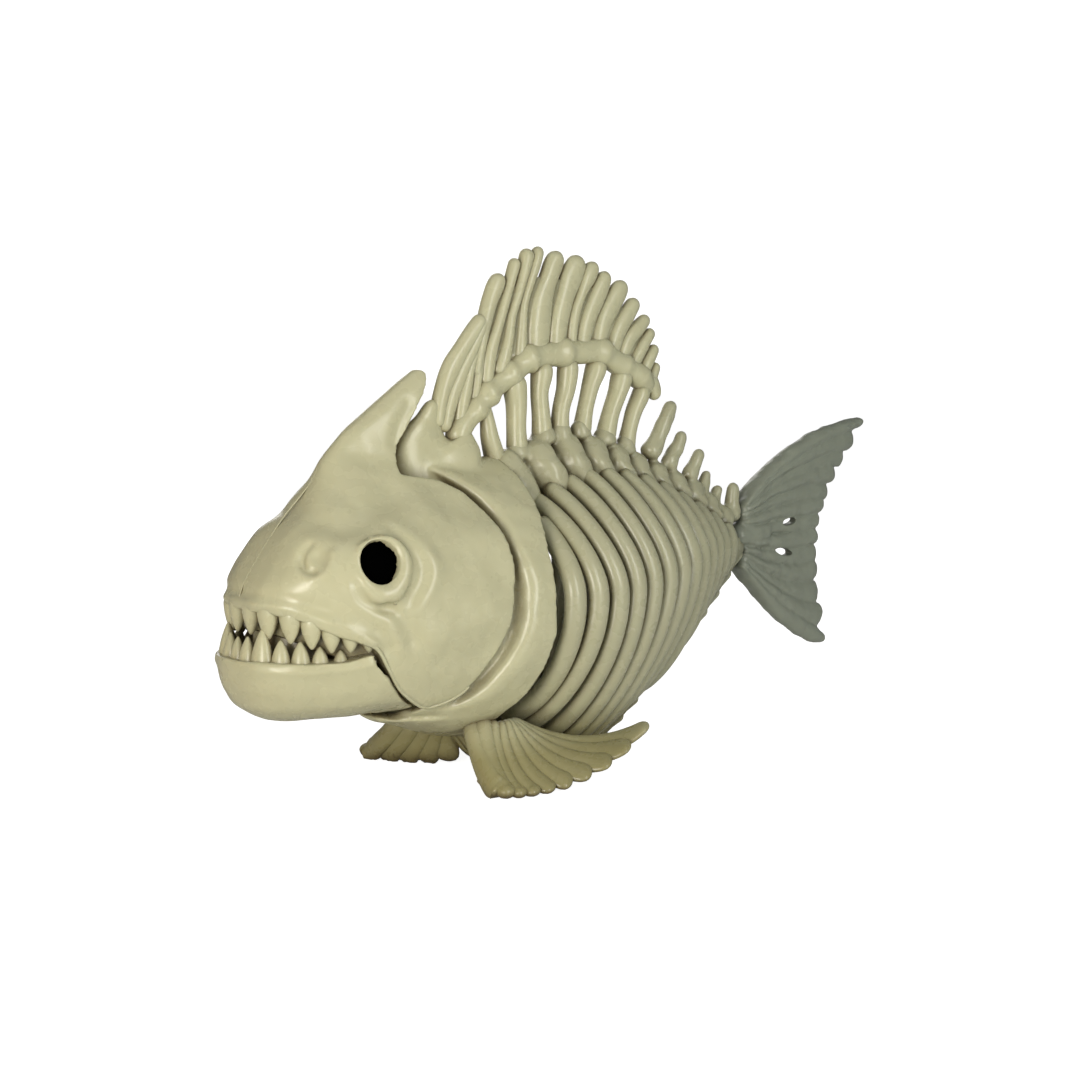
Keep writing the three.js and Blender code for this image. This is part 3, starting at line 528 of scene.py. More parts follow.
def skull_shapes(bm):
    blunt_stack(
        bm, low=29, high=153.4, steps=90, columns=60, rear=-60,
        front=head_front, widest=HEAD_WIDEST_X, half_width=head_half_width, power=head_power,
    )


def skull_hollow(bm):
    blunt_stack(
        bm, low=25, high=124, steps=70, columns=50, rear=-55,
        front=lambda z: head_front(z) + 1.4 * WALL, widest=HEAD_WIDEST_X,
        half_width=lambda z: head_half_width(z + WALL / 2) - WALL, power=head_power,
    )


def skull_outline(bm):
    outline = [
        [-180, 72], *LIP[:3], *rounded(CHEEK_FRONT, 14), *rounded(CHEEK_REAR, 40)[1:],
        *rounded(HORN_REAR, 12)[1:], [-83.5, 155], [-83.5, 160], [-180, 160],
    ]
    plate(bm, outline, -60, 60)


def eye_hole(bm, side):
    """Flat recess inside the ring, for the black oval."""
    shift = Matrix.Translation((-side * EYE_SHIFT[0], EYE_SHIFT[1], 8.0 - EYE_SUNK))
    size = Matrix.Diagonal((EYE_RADII[0] + 0.5, EYE_RADII[1] + 0.5, 1.0, 1.0))
    place = eye_matrix(side) @ shift @ size
    bmesh.ops.create_cone(bm, cap_ends=True, segments=48, radius1=1.0, radius2=1.0, depth=16, matrix=place)


skull = shape("skull_shell", skull_shapes)
cut(skull, shape("hollow", skull_hollow), "DIFFERENCE")
cut(skull, shape("outline", skull_outline), "INTERSECT")
for side in (LEFT, RIGHT):
    joined(skull, shape("ring", lambda bm: eye_ring(bm, side)))
skin(skull, 0.75, 4)
uneven(skull, [(14.0, 0.75), (6.0, 0.25)], calm=8.0)
print("skull:", len(skull.data.polygons), "faces")

# %% [markdown]
# Then the head is sculpted: brows, the folds behind and below the eyes, nostrils, the groove in the horn
# and the swell over the gum. They come after the skin, because its smoothing would wash them out. A flat
# recess is cut inside each ring.

# %% Skull details
SKULL_STROKES = [
    ([[-137.8, 107.4], [-135.7, 102.9], [-130.4, 100.5], [-120.6, 104.9], [-107.3, 110.5]], 6.0, -1.6),
    ([[-115.5, 97.6], [-109.2, 95.4], [-104.6, 90.6], [-102.8, 85.4], [-104.6, 79.5],
     [-109.0, 73.5]], 3.6, 0.75),
    ([[-114.0, 98.0], [-109.8, 93.4], [-107.6, 87.5], [-108.2, 81.0], [-112.0, 74.6]], 2.9, -1.1),
    ([[-132.6, 81.0], [-131.0, 76.4], [-125.0, 72.4], [-118.6, 71.2]], 1.5, -0.7),
    ([[-133.6, 78.6], [-130.4, 73.6], [-125.5, 70.6], [-120.5, 67.0], [-117.5, 61.5],
     [-115.0, 55.5]], 2.8, 0.7),
    ([[-121.5, 73.0], [-115.5, 68.5], [-111.0, 60.5]], 3.2, -1.0),
    ([[-124.5, 64.5], [-121.0, 58.5]], 2.6, -0.8),
    ([[-141.7, 23.8, 89.9]], 4.2, -1.7),
    ([[-142.7, 20.2, 95.4], [-145.3, 19.9, 92], [-146.2, 20.8, 88.8], [-145.4, 22.6, 86.3],
     [-143.6, 24.6, 85.2]], 1.5, -1.9),
    ([[-144, 25.3, 83.1], [-141.1, 27, 84.2], [-138.2, 27.5, 87.8], [-137, 26.6, 91.3]], 1.9, 0.9),
    ([[-97.5, 127.0], [-94.5, 134.0], [-90.0, 140.5]], 2.6, -0.9),
    ([[-158.9, 74.2], [-153.7, 73.6], [-144.6, 70.2], [-136.8, 66.6], [-130.4, 63.2],
     [-125.3, 60.4]], 1.5, 0.7),
    ([[-158.9, 77.6], [-153.7, 77.2], [-144.6, 74.0], [-136.8, 70.4]], 1.8, -0.5),
    ([[-115.2, 124.4]], 5.0, -0.8),
    ([[-82.1, 55.5]], 7.0, -1.0),
    ([[-90.0, 72.0]], 10.0, 0.6),
    ([[-96.0, 101.0]], 6.0, 0.5),
    ([[-103.0, 60.0]], 6.0, 0.5),
]
sculpt(skull, SKULL_STROKES)
for side in (LEFT, RIGHT):
    cut(skull, shape("hole", lambda bm: eye_hole(bm, side)), "DIFFERENCE")
print("skull: sculpted", len(SKULL_STROKES), "strokes")

# %% [markdown]
# The upper teeth hang from the gum in one row. They are kept sharp: they join the head after its skin
# is wrapped.

# %% Upper teeth
UPPER_TEETH = [
    [5.0, 1.12, 1.15], [13.6, 1.18, 1.2], [21.2, 1.1, 1.15], [26.2, 1.04, 1.1], [29.8, 0.88, 1.0],
    [32.6, 0.62, 0.85], [34.8, 0.4, 0.65],
]


def upper_teeth(bm):
    gum = smooth_table(LIP)
    teeth(
        bm, UPPER_TEETH, gum=lambda x: gum(x) + 1.4, **UPPER_ARCH, power=2.4,
        length=9.0, pointing=-1, radius=3.7, inset=3.4, outwards=0.05,
    )


print("upper teeth:", 2 * len(UPPER_TEETH))

# %% [markdown]
# Behind each row of teeth stands a wall, so that no light comes through the mouth from the far side.

# %% Inner gums
def inner_gum(bm, front, widest, half_width, rim, depth, height, inset):
    """Thin wall that follows a blunt jaw a little way inside its teeth, from one side to the other."""
    rows = []
    for y in np.linspace(-0.93, 0.93, 61) * (half_width - inset):
        x = blunt_front(y, front + inset, widest, half_width - inset, 2.4)
        rows.append([x, y, float(rim(min(x, -126.0))) + depth, 1.1, height])
    bar(bm, rows, flat=(0, 0, 1), sides=12, count=90)


def upper_gum(bm):
    inner_gum(bm, rim=smooth_table(LIP), depth=-1.2, height=5.6, inset=7.5, **UPPER_ARCH)


print("a wall stands behind each row of teeth")

# %% [markdown]
# Two marks of the mould are worth keeping: the parting line down the middle of the head, where the two
# halves of the mould met, and the ragged flash that crept out along the edge of the cheek.

# %% Mould lines
def mould_lines(bm):
    """Parting line down the middle of the head, and the thin flash that the mould left along the cheek."""
    heights = np.linspace(73.0, 119.0, 24)
    bar(bm, [[float(head_front(z)) + 0.12, 0.0, float(z), 0.28, 0.28] for z in heights], sides=8, count=60)
    flash = [
        [-129.2, 60.4], [-125.2, 58.6], [-119.7, 51], [-113.3, 42.2], [-106.4, 36.7], [-99.6, 33.4],
        [-94, 34.2], [-88.3, 36.4], [-84, 40],
    ]
    for side in (LEFT, RIGHT):
        rows = []
        for x, _, z in smooth_path([[x, 0.0, z] for x, z in flash], 50):
            front, power = float(head_front(z)), float(head_power(z))
            width = blunt_half_width(x, front, HEAD_WIDEST_X, float(head_half_width(z)), power)
            wave = 0.25 * noise.noise(Vector((0.35 * x, 0.35 * z, 2.0)))
            rows.append([x, side * (width - 0.5 + wave), z + 0.35, 0.75, 0.8])
        bar(bm, rows, sides=10, count=90)


joined(skull, shape("upper_teeth", upper_teeth))
joined(skull, shape("upper_gum", upper_gum))
joined(skull, shape("mould_lines", mould_lines))
hand_over(skull, "skull", "bone_plastic")

# %% [markdown]
# The lower jaw is a trough: the same blunt stack as the head, hollowed, and cut to its outline. It is a
# moulding of its own: its sides step inwards where they pass inside the cheeks, and two flat arms carry
# it there. Its teeth grow up from the rim, and a wall behind them keeps the mouth dark.

# %% Lower jaw
JAW_RIM = [[-158, 54.5], [-146, 53.9], [-134, 54.4], [-125.5, 56.2]]
JAW_REAR = [
    [-125.5, 56.2], [-124.0, 52.4], [-120.8, 49.0], [-113, 46.5], [-104, 43], [-100, 38], [-99, 30],
]
JAW_TUCK = 4.0  # the sides of the jaw step inwards by this, to pass inside the cheeks
JAW_TUCK_LEAD = 3.0  # the step starts this far in front of the cheek's edge
JAW_TUCK_LENGTH = 4.5
JAW_ARM_Y = 25.4
LOWER_TEETH = [
    [0, 0.78, 0.9], [6.8, 0.84, 1.0], [14.2, 1.12, 1.15], [20.4, 0.82, 1.0], [25.0, 0.8, 1.0],
    [28.4, 0.62, 0.9], [31.2, 0.45, 0.75],
]


def jaw_shapes(bm):
    blunt_stack(
        bm, low=31, high=60, steps=40, columns=60, rear=-100,
        front=jaw_front, widest=JAW_WIDEST_X, half_width=jaw_half_width, power=jaw_power,
    )


def jaw_hollow(bm):
    blunt_stack(
        bm, low=34, high=62, steps=30, columns=50, rear=-95,
        front=lambda z: jaw_front(z - 1) + WALL, widest=JAW_WIDEST_X,
        half_width=lambda z: jaw_half_width(z - 1) - WALL, power=jaw_power,
    )


def jaw_outline(bm):
    plate(bm, [[-180, 55.2], *JAW_RIM[:3], *rounded(JAW_REAR, 24), [-99, 20], [-180, 20]], -60, 60)


def jaw_arm(bm, side):
    outline = [[-137, 42], [-126, 41], [-112, 35.5], [-107, 39], [-116, 49], [-137, 51]]
    y0, y1 = sorted((side * (JAW_ARM_Y - 1), side * (JAW_ARM_Y + 1.6)))
    plate(bm, outline, y0, y1)


def lower_teeth(bm):
    gum = smooth_table(JAW_RIM)
    teeth(
        bm, LOWER_TEETH, gum=lambda x: gum(x) - 1.2, **LOWER_ARCH, power=2.4,
        length=11.0, pointing=1, radius=3.7, inset=4.4, outwards=-0.05,
    )


def lower_gum(bm):
    inner_gum(bm, rim=smooth_table(JAW_RIM), depth=-4.0, height=16.0, inset=14.0, **LOWER_ARCH)


jaw = shape("jaw_shell", jaw_shapes)
cut(jaw, shape("hollow", jaw_hollow), "DIFFERENCE")
cut(jaw, shape("outline", jaw_outline), "INTERSECT")
for side in (LEFT, RIGHT):
    joined(jaw, shape("arm", lambda bm: jaw_arm(bm, side)))
skin(jaw, 0.6, 4)
cheek_front = smooth_table([[z, x] for x, z in reversed(CHEEK_FRONT)])
places, _ = places_and_normals(jaw.data)
behind = places[:, 0] - cheek_front(places[:, 2]) + JAW_TUCK_LEAD
share = np.clip(behind / JAW_TUCK_LENGTH, 0.0, 1.0)
tucked = np.maximum(np.abs(places[:, 1]) - JAW_TUCK * share**2 * (3 - 2 * share), 0.0)
places[:, 1] = np.copysign(tucked, places[:, 1])
jaw.data.vertices.foreach_set("co", places.ravel())
jaw.data.update()
uneven(jaw, [(14.0, 0.7), (6.0, 0.2)])
sculpt(jaw, [([[-160, 52.0], [-146, 51.2], [-134, 51.6], [-126, 52.8]], 1.6, 0.5)])
joined(jaw, shape("lower_teeth", lower_teeth))
joined(jaw, shape("lower_gum", lower_gum))
hand_over(jaw, "lower_jaw", "bone_plastic")

# %% [markdown]
# The eyes are black: a flat plug in the recess inside each ring, with a wavy outline, so that the edge is
# ragged. It lies just proud of the recess's floor.

# %% Eyes
def eye_dish(bm, side):
    """Black plug of the eye. Its face has a ragged outline."""
    made = bmesh.ops.create_circle(bm, cap_ends=True, segments=120, radius=1.0)["verts"]
    for vertex in made:
        angle = math.atan2(vertex.co.y, vertex.co.x)
        ragged = noise.noise(Vector((1.9 * math.cos(angle), 1.9 * math.sin(angle), 4.0 + side)))
        fine = noise.noise(Vector((6.0 * math.cos(angle), 6.0 * math.sin(angle), 9.0 + side)))
        reach = 1.0 + 0.1 * ragged + 0.05 * fine
        vertex.co = Vector((EYE_RADII[0] * reach * vertex.co.x, EYE_RADII[1] * reach * vertex.co.y, 0.0))
    rim = [edge for edge in bm.edges if edge.is_boundary]
    made = bmesh.ops.extrude_edge_only(bm, edges=rim)["geom"]
    lower = [item for item in made if isinstance(item, bmesh.types.BMVert)]
    bmesh.ops.translate(bm, vec=(0, 0, -2.5), verts=lower)
    edges = [item for item in made if isinstance(item, bmesh.types.BMEdge)]
    edge_ring = [edge for edge in edges if set(edge.verts) <= set(lower)]
    bmesh.ops.contextual_create(bm, geom=edge_ring)
    shift = Matrix.Translation((-side * EYE_SHIFT[0], EYE_SHIFT[1], 0.15 - EYE_SUNK))
    bmesh.ops.transform(bm, matrix=eye_matrix(side) @ shift, verts=bm.verts)


for side, word in ((LEFT, "left"), (RIGHT, "right")):
    eye = shape(f"eye_dish_{word}", lambda bm: eye_dish(bm, side))
    hand_over(eye, f"eye_{word}", "black_eye")

# %% [markdown]
# The collar is the shoulder of the fish: a broad band, egg-shaped from the front, that the cheeks lap
# over. One profile does all of it. The profile follows the band's curved front edge round the fish,
# with the lip under the cheek, the rounded shoulder and the band's outer and inner faces, and closes on
# itself. The crest on top is one flat bar that a bore in the band's own shape trims.

# %% Collar
COLLAR_HALF_WIDTH = 43.5
COLLAR_TOP = 120.0
COLLAR_BELT = 62.0
COLLAR_WALL = 3.0
collar_bottom = smooth_table([[-110, 27], [-100, 23.5], [-88, 19.5], [-75, 15.5], [-60, 13.5], [-44, 12]])
BAND_FRONT = [
    [-106, 27], [-93, 30], [-82, 36], [-73, 46], [-66, 58], [-63, 72], [-63.8, 89], [-67, 101],
    [-74, 110.5], [-84, 117.4], [-95, 122],
]
BAND_REAR = [
    [-67.5, 12], [-66.5, 20], [-62, 30], [-56, 41], [-52, 55], [-51, 70], [-49.5, 89], [-47, 105],
    [-47, 124],
]
band_front = smooth_table([[z, x] for x, z in BAND_FRONT])
band_rear = smooth_table([[z, x] for x, z in BAND_REAR])


def egg_point(turn, x, inset):
    """Point of the egg-shaped tube, turn 0 at its top."""
    angle = 2 * math.pi * turn
    up, out = math.cos(angle), math.sin(angle)
    reach = COLLAR_TOP - COLLAR_BELT if up > 0 else COLLAR_BELT - float(collar_bottom(x))
    power = 1.45 if up > 0 else 1.15
    y = (COLLAR_HALF_WIDTH - inset) * math.copysign(abs(out) ** power, out)
    return Vector((x, y, COLLAR_BELT + (reach - inset) * up))


BAND_PROFILE = [  # from the lip under the cheek, up the rounded front face, over the band, and back inside
    [-9.0, 7.2], [-6.0, 7.2], [-2.9, 7.1], [-1.7, 6.5], [-1.1, 5.2], [-0.6, 3.7], [0.2, 2.3], [1.5, 1.1],
    [3.6, 0.35], [7.0, 0.0],
]


def collar_shell(bm):
    """Band round the fish: the profile follows the band's front edge, then runs straight to its rear."""
    sides = 180
    outer = len(BAND_PROFILE) + 12
    steps = 2 * outer - 1

    def place(turn, along):
        step = round(along * steps)
        inside = step >= outer
        column = steps - step if inside else step
        thickness = COLLAR_WALL if inside else 0.0
        z = egg_point(turn, -60.0, 0.0).z
        for _ in range(4):
            front, rear = float(band_front(z)), float(band_rear(z))
            if column < len(BAND_PROFILE):
                offset, inset = BAND_PROFILE[column]
                inset *= 1 - 0.8 * min(max((42.0 - z) / 12.0, 0.0), 1.0)
                x = front + offset
            else:
                share = (column - len(BAND_PROFILE) + 1) / (outer - len(BAND_PROFILE))
                x = front + BAND_PROFILE[-1][0] + share * (rear - front - BAND_PROFILE[-1][0])
                inset = 0.0
            spot = egg_point(turn, x, inset + thickness)
            z = spot.z
        return spot

    barrel(bm, sides, steps, place, closed_ring=True)


CREST = [  # z, front x, rear x, half-width
    [104, -78, -49, 20.0], [109, -83, -49, 15.0], [113, -89.5, -50, 11.0], [117, -93.8, -53, 7.8],
    [121, -95.4, -59, 5.8], [125, -93.2, -65, 4.6], [129, -89.2, -69, 3.9], [134, -84.4, -71, 3.3],
    [139, -80.6, -72, 2.9], [142.4, -77.2, -72.8, 2.2],
]


def collar_crest(bm):
    rows = [[(front + rear) / 2, 0.0, z, (rear - front) / 2, half] for z, front, rear, half in CREST]
    bar(bm, rows, sides=28, count=30)


def collar_bore(bm):
    """Egg-shaped room inside the band, which trims the crest's foot."""
    barrel(bm, 90, 24, lambda turn, along: egg_point(turn, -118.0 + 78.0 * along, COLLAR_WALL + 4.5))


crest = shape("crest", collar_crest)
cut(crest, shape("bore", collar_bore), "DIFFERENCE")
collar = shape("collar_band", collar_shell)
joined(collar, crest)
skin(collar, 0.8, 4)
uneven(collar, [(14.0, 0.8), (6.0, 0.3)])
hand_over(collar, "shoulder_girdle", "bone_plastic")

# %% [markdown]
# A vertebra in this mould is a saddle: it widens backwards to a rim that leans over the next one.
# Eleven of them follow one curve, longest behind the head, and the tail's root takes the place of a
# twelfth. Small pads on their flanks carry the ribs, and spikes grow from the rear ones. The skin melts
# them into one chain.

# %% Spine
SPINE = [
    [-51, 104.5], [-35, 110.5], [-20, 114.5], [-5, 115.8], [10, 113.6], [30, 108.6], [56, 99.6],
    [71, 91], [88, 82.5],
]
SPINE_HALF_HEIGHT = smooth_table([[0, 13.0], [0.09, 14.8], [0.3, 12.8], [0.6, 9.0], [1, 6.2]])
SPINE_HALF_WIDTH = smooth_table([[0, 11.0], [0.09, 12.0], [0.3, 10.6], [0.6, 7.6], [1, 5.8]])
SPINE_STEPS = 240  # along the curve of the spine
SPINE_PLACES = 12  # for vertebrae along the curve: the last one stays free for the tail's root
SPINE_SHORTENING = 0.84  # below 1, the vertebrae get shorter towards the tail
LAST_PAD_X = 72.0  # vertebrae behind this carry no ribs, so they have no pads
STRUTS = [  # x, z and visible radius of each strut under the dorsal fin, top first
    [[-53.5, 141, 3.2], [-51.1, 136.4, 2.8], [-49.2, 127.5, 3.6], [-45.2, 115, 4.6]],
    [[-37.6, 152, 4.0], [-37.1, 147.5, 4.9], [-36.3, 139.9, 4.2], [-36.3, 130.3, 3.9], [-35.5, 119, 4.8]],
    [[-23.4, 157, 3.8], [-23.6, 152.5, 4.4], [-24.8, 144.2, 3.6], [-24, 135.1, 3.7], [-23.1, 124.5, 4.7]],
    [[-10.2, 158, 3.8], [-10.5, 153.1, 4.3], [-11.4, 145.9, 3.9], [-13.9, 137.5, 3.5],
     [-14.7, 125.5, 4.2]],
    [[5, 158, 3.9], [4.1, 153.6, 4.4], [1.5, 147.1, 3.7], [-1.1, 138.6, 3.3], [-3.8, 126, 4.1]],
    [[18.8, 154, 4.1], [17.8, 149.6, 4.7], [15.6, 143.6, 4.0], [12.1, 135.7, 3.7], [8.4, 123, 4.6]],
    [[29.6, 147, 3.4], [28.2, 142.7, 3.8], [24.6, 136.1, 3.5], [22, 128.7, 3.3], [19.6, 119, 4.3]],
]
SPIKES = [  # x, z and visible radius of each spike, tip first
    [[45.8, 139.5, 2.1], [42.9, 133.7, 3.5], [38, 125, 3.5], [32.1, 116.3, 3.8]],
    [[51.6, 127.2, 2.4], [50.1, 122.4, 3.1], [46.1, 116.6, 3.5], [43.1, 110.5, 3.7]],
    [[62.5, 119, 2.7], [59.5, 113.8, 2.8], [54.4, 106.0, 3.3]],
    [[66.3, 110.5, 2], [64.8, 105.3, 2.4], [61.7, 98.5, 3.0]],
    [[73.3, 103.4, 2.4], [71.2, 98.2, 2.8], [69.1, 92.0, 3.3]],
    [[81.8, 103.8, 2.1], [81.4, 97.7, 3.1], [79.9, 87.0, 4.0]],
]


def middle_bar(bm, rows, depth=None, **options):
    """Bar in the fish's middle plane, from rows of x, z and the radius seen from the side."""
    bar(bm, [[x, 0.0, z, radius, min(radius, depth or radius)] for x, z, radius in rows], **options)


def vertebra_shapes(bm):
    """Chain of vertebrae: each widens backwards to a rim, and the next one starts inside that rim."""
    line = smooth_path([[x, 0.0, z] for x, z in SPINE], SPINE_STEPS + 1)
    shares = [number / SPINE_PLACES for number in range(SPINE_PLACES)]
    ends = [SPINE_STEPS * share**SPINE_SHORTENING for share in shares]
    for front, rear in zip(ends, ends[1:]):
        rows = []
        for step in range(14):
            share = step / 12
            at = front + share * (rear - front)
            x, y, z = [np.interp(at, range(SPINE_STEPS + 1), column) for column in line.T]
            flare = 0.92 + 0.04 * share + 0.1 * math.exp(-(((share - 0.9) / 0.2) ** 2))
            tall = float(SPINE_HALF_HEIGHT(at / SPINE_STEPS))
            wide = float(SPINE_HALF_WIDTH(at / SPINE_STEPS))
            rows.append([x, y, z, tall * flare, wide * flare])
        bar(bm, rows, sides=28, count=26)
        x, y, z, tall, wide = rows[8]
        for side in (LEFT, RIGHT) if x < LAST_PAD_X else ():
            pad = [[x - 4, side * 0.4 * wide, z + 0.5 * tall, 0.3 * tall, 0.34 * tall]]
            pad.append([x, side * 0.84 * wide, z, 0.26 * tall, 0.36 * tall])
            pad.append([x + 3.5, side * 0.9 * wide, z - 0.58 * tall, 0.24 * tall, 0.34 * tall])
            bar(bm, pad, flat=(1, 0, 0), sides=12, count=12)
    for rows in STRUTS:
        x, z, radius = rows[-1]
        foot = [[x - 0.3, z + 7.5, 0.82 * radius], [x, z + 3.5, 1.0 * radius]]
        foot.append([x + 0.3, z - 1.0, 1.55 * radius])
        middle_bar(bm, foot, sides=18, count=14)
    for spike in SPIKES:
        foot = [[*spike[-1][:2], 1.35 * spike[-1][2]]]
        middle_bar(bm, [*spike[:-1], *foot], sides=16, count=22)


spine = shape("vertebrae", vertebra_shapes)
skin(spine, 0.7, 4)
uneven(spine, [(9.0, 0.7), (4.0, 0.3)])
hand_over(spine, "spine", "bone_plastic_shade")

# %% [markdown]
# Each rib is a bar whose centre line comes from two superellipses, one above its widest place and one
# below, so that it is straighter than a hoop. Tables over the rib's number give its top, widest place
# and foot. The ribs of a side close on half of the belly keel, whose edge carries a row of small
# scutes.

# %% Ribs
RIB_COUNT = 13
RIB_THICKNESS = 3.7
RIB_TOP_Y = 10.2
RIB_EASE = 0.16  # rounds the ribs' widest bend
RIB_LOW_Y = 2.4
rib_top_x = smooth_table([[0, -39], [1, -35], [3, -18], [7, 22], [10, 53], [12, 71]])
rib_top_z = smooth_table([[0, 99], [2, 107], [5, 112], [7, 108.5], [10, 96], [12, 87]])
rib_mid_x = smooth_table([[0, -39.5], [3, -7], [7, 32], [9, 47], [12, 70]])
rib_mid_z = smooth_table([[0, 68], [3, 69], [9, 77.5], [12, 79]])
rib_low_x = smooth_table([[0, -45], [1, -40], [2, -30], [5, -12], [7, 6], [8, 24], [12, 70]])
rib_low_z = smooth_table([[0, 20], [1, 15], [2, 10], [6, 8], [8, 23], [10, 47], [12, 66]])
rib_half_width = smooth_table([[0, 39.5], [1, 40], [3, 37.5], [8, 24.5], [12, 10]])
rib_across = smooth_table([[0, 4.7], [5, 4.4], [7, 4.8], [12, 4.5]])
KEEL_UNDERSIDE = [
    [-66, 14], [-58, 5], [-47, 0], [-9, 0], [5, 5], [26, 20], [51, 39.5], [68.5, 57], [84.5, 75],
]
KEEL_TOPSIDE = [[84.5, 81], [74, 80], [60, 64], [30, 33], [0, 14], [-40, 12], [-66, 19]]
KEEL_HALF_WIDTH = 4.2
KEEL_SCUTES = 18
HALF_GAP = 0.1


def rib_rows(rib, side):
    """Centre line of one rib, from beside the spine, round its widest place, to the keel."""
    rows = []
    for along in np.linspace(0.16 if rib == 0 else 0.0, 1.0, 33):
        angle = along * math.pi
        upper = angle < math.pi / 2
        end_x, end_z = (rib_top_x, rib_top_z) if upper else (rib_low_x, rib_low_z)
        power = 1.45 if upper else 1.6
        height = abs(math.cos(angle))
        eased = (math.hypot(height, RIB_EASE) - RIB_EASE) / (math.hypot(1.0, RIB_EASE) - RIB_EASE)
        bulge = max(1 - eased**power, 0.0) ** (1 / power)
        pull = height**1.5
        x = rib_mid_x(rib) * (1 - pull) + end_x(rib) * pull
        z = rib_mid_z(rib) + height * (end_z(rib) - rib_mid_z(rib))
        top_y = RIB_TOP_Y * (1 - 0.035 * rib)
        rest = top_y + (RIB_LOW_Y - top_y) * along**0.7
        y = rest + (rib_half_width(rib) - rest) * bulge
        half = float(rib_across(rib)) * (0.72 + 0.25 * math.sin(angle))
        wobble = 0.35 * noise.noise(Vector((6.0 * along, 3.7 * rib, 1.0)))
        rows.append([float(x) + wobble, side * float(y), float(z), RIB_THICKNESS * (1 - 0.02 * rib), half])
    return rows


def rib_side(bm, side):
    for rib in range(RIB_COUNT):
        bar(bm, rib_rows(rib, side), flat=(1, 0, 0), sides=22, count=64, start=False)
    y0, y1 = sorted((side * HALF_GAP, side * KEEL_HALF_WIDTH))
    plate(bm, [*rounded(KEEL_UNDERSIDE, 60), *rounded(KEEL_TOPSIDE, 60)], y0, y1)
    edge = rounded(KEEL_UNDERSIDE, 6 * KEEL_SCUTES + 1)
    for scute in range(3, KEEL_SCUTES):
        (x0, z0), (x1, z1) = edge[6 * scute - 1], edge[6 * scute + 6]
        rows = [[x0, side * 2.1, z0 + 1.6, 2.0, 1.7], [x1, side * 2.1, z1 + 0.6, 3.6, 2.0]]
        bar(bm, rows, sides=16, count=14)


for side, word in ((LEFT, "left"), (RIGHT, "right")):
    rib_cage = shape(f"rib_bars_{word}", lambda bm: rib_side(bm, side))
    hand_over(rib_cage, f"ribs_{word}", "bone_plastic_shade")

# %% [markdown]
# The dorsal fin is three layers in one mould: rays that nearly touch, a knuckled bar across their
# roots, and struts that stand on the vertebrae. The rays are given as they are seen, so their true
# half-width is worked out from the seen one, the depth and the angle of view. A thin web closes the
# gaps between them.

# %% Dorsal fin
DORSAL_RAYS = [  # x, z and visible radius of each ray, root first
    [[-74.5, 131.5, 2.2], [-72, 143.6, 2.3], [-66.6, 154.6, 2.9], [-62, 161.1, 2.5], [-56.5, 167.6, 2.6],
     [-52.0, 173.5, 2.1]],
    [[-71.5, 130, 2.0], [-67.8, 142.5, 2.5], [-62.6, 153, 2.4], [-57.6, 161.5, 2.2], [-53, 169.6, 2.1],
     [-49.6, 176, 1.6]],
    [[-64.5, 131, 1.8], [-61.5, 144.7, 2.3], [-59.3, 152.7, 1.8], [-55, 162, 1.2], [-51, 168.9, 0.8]],
    [[-57.5, 139, 1.5], [-55, 152.7, 1.6], [-53.4, 160.2, 1.2], [-51, 167, 0.8]],
    [[-56.2, 150, 1.6], [-54.0, 162, 1.9], [-51.4, 172, 2.2], [-48.6, 180.1, 2.4], [-45.8, 185.6, 2.5],
     [-43.6, 189.2, 1.8]],
    [[-51.6, 146, 2.2], [-49.1, 160.8, 2.3], [-46.3, 168.3, 1.9], [-43.5, 175.9, 1.8],
     [-40.2, 184.7, 1.6], [-36.4, 195.4, 1.7]],
    [[-45, 150, 2.9], [-40.7, 165.2, 1.9], [-39.1, 173.4, 1.6], [-36.2, 181, 1.6], [-33, 190.5, 1.9],
     [-30.3, 199.2, 2.3]],
    [[-35, 155, 2.3], [-33.8, 170.9, 1.6], [-33, 177.9, 1.4], [-30.5, 185.5, 1.6], [-27.3, 193.8, 1.9],
     [-25, 200.2, 1.6]],
    [[-26.5, 156, 3.2], [-25.2, 171, 3.9], [-24, 178.7, 3.6], [-20.7, 187.7, 2.9], [-17.3, 194.8, 2.9],
     [-15.2, 198.6, 2.1]],
    [[-17, 158, 2.9], [-15.2, 172.4, 3.2], [-12.3, 181.5, 3.2], [-8.1, 190.6, 3.6], [-4.3, 197.1, 2.6]],
    [[-9.8, 159, 1.8], [-7.6, 175.1, 1.9], [-4.2, 182.9, 1.9], [0.5, 190.8, 2.6], [3.4, 195, 1.8]],
    [[-4.3, 159, 2.7], [-1.2, 171.9, 2.7], [3.1, 179.8, 2.9], [7.4, 187.7, 2.6], [9.4, 191.6, 1.8]],
    [[3.6, 158, 2.4], [7.5, 171.4, 2.9], [11.9, 178.6, 3.1], [16.7, 185.3, 2.7], [18.6, 188.0, 1.9]],
    [[10.6, 156, 2.6], [15.9, 168.8, 2.7], [20.3, 174.8, 2.7], [25.4, 181.0, 2.1]],
    [[15.6, 153, 2.4], [21.7, 165.5, 2.5], [27.1, 170.2, 2.3], [31.6, 174.2, 1.6]],
    [[21, 151, 2.3], [29, 162.9, 2.1], [34.2, 169.0, 1.6]],
    [[26, 147, 2.2], [34.5, 160.2, 1.8], [36.4, 162.5, 1.3]],
    [[30, 143, 2.3], [34.5, 150.8, 1.8], [37, 155.4, 1.3]],
    [[30.5, 151, 2.4], [32.7, 148.8, 2.6], [35.1, 144.7, 2.4], [36, 140.2, 1.8]],
]
RAY_HALF_DEPTH = 3.0
VIEW_TURN = CAMERA_AZIMUTH
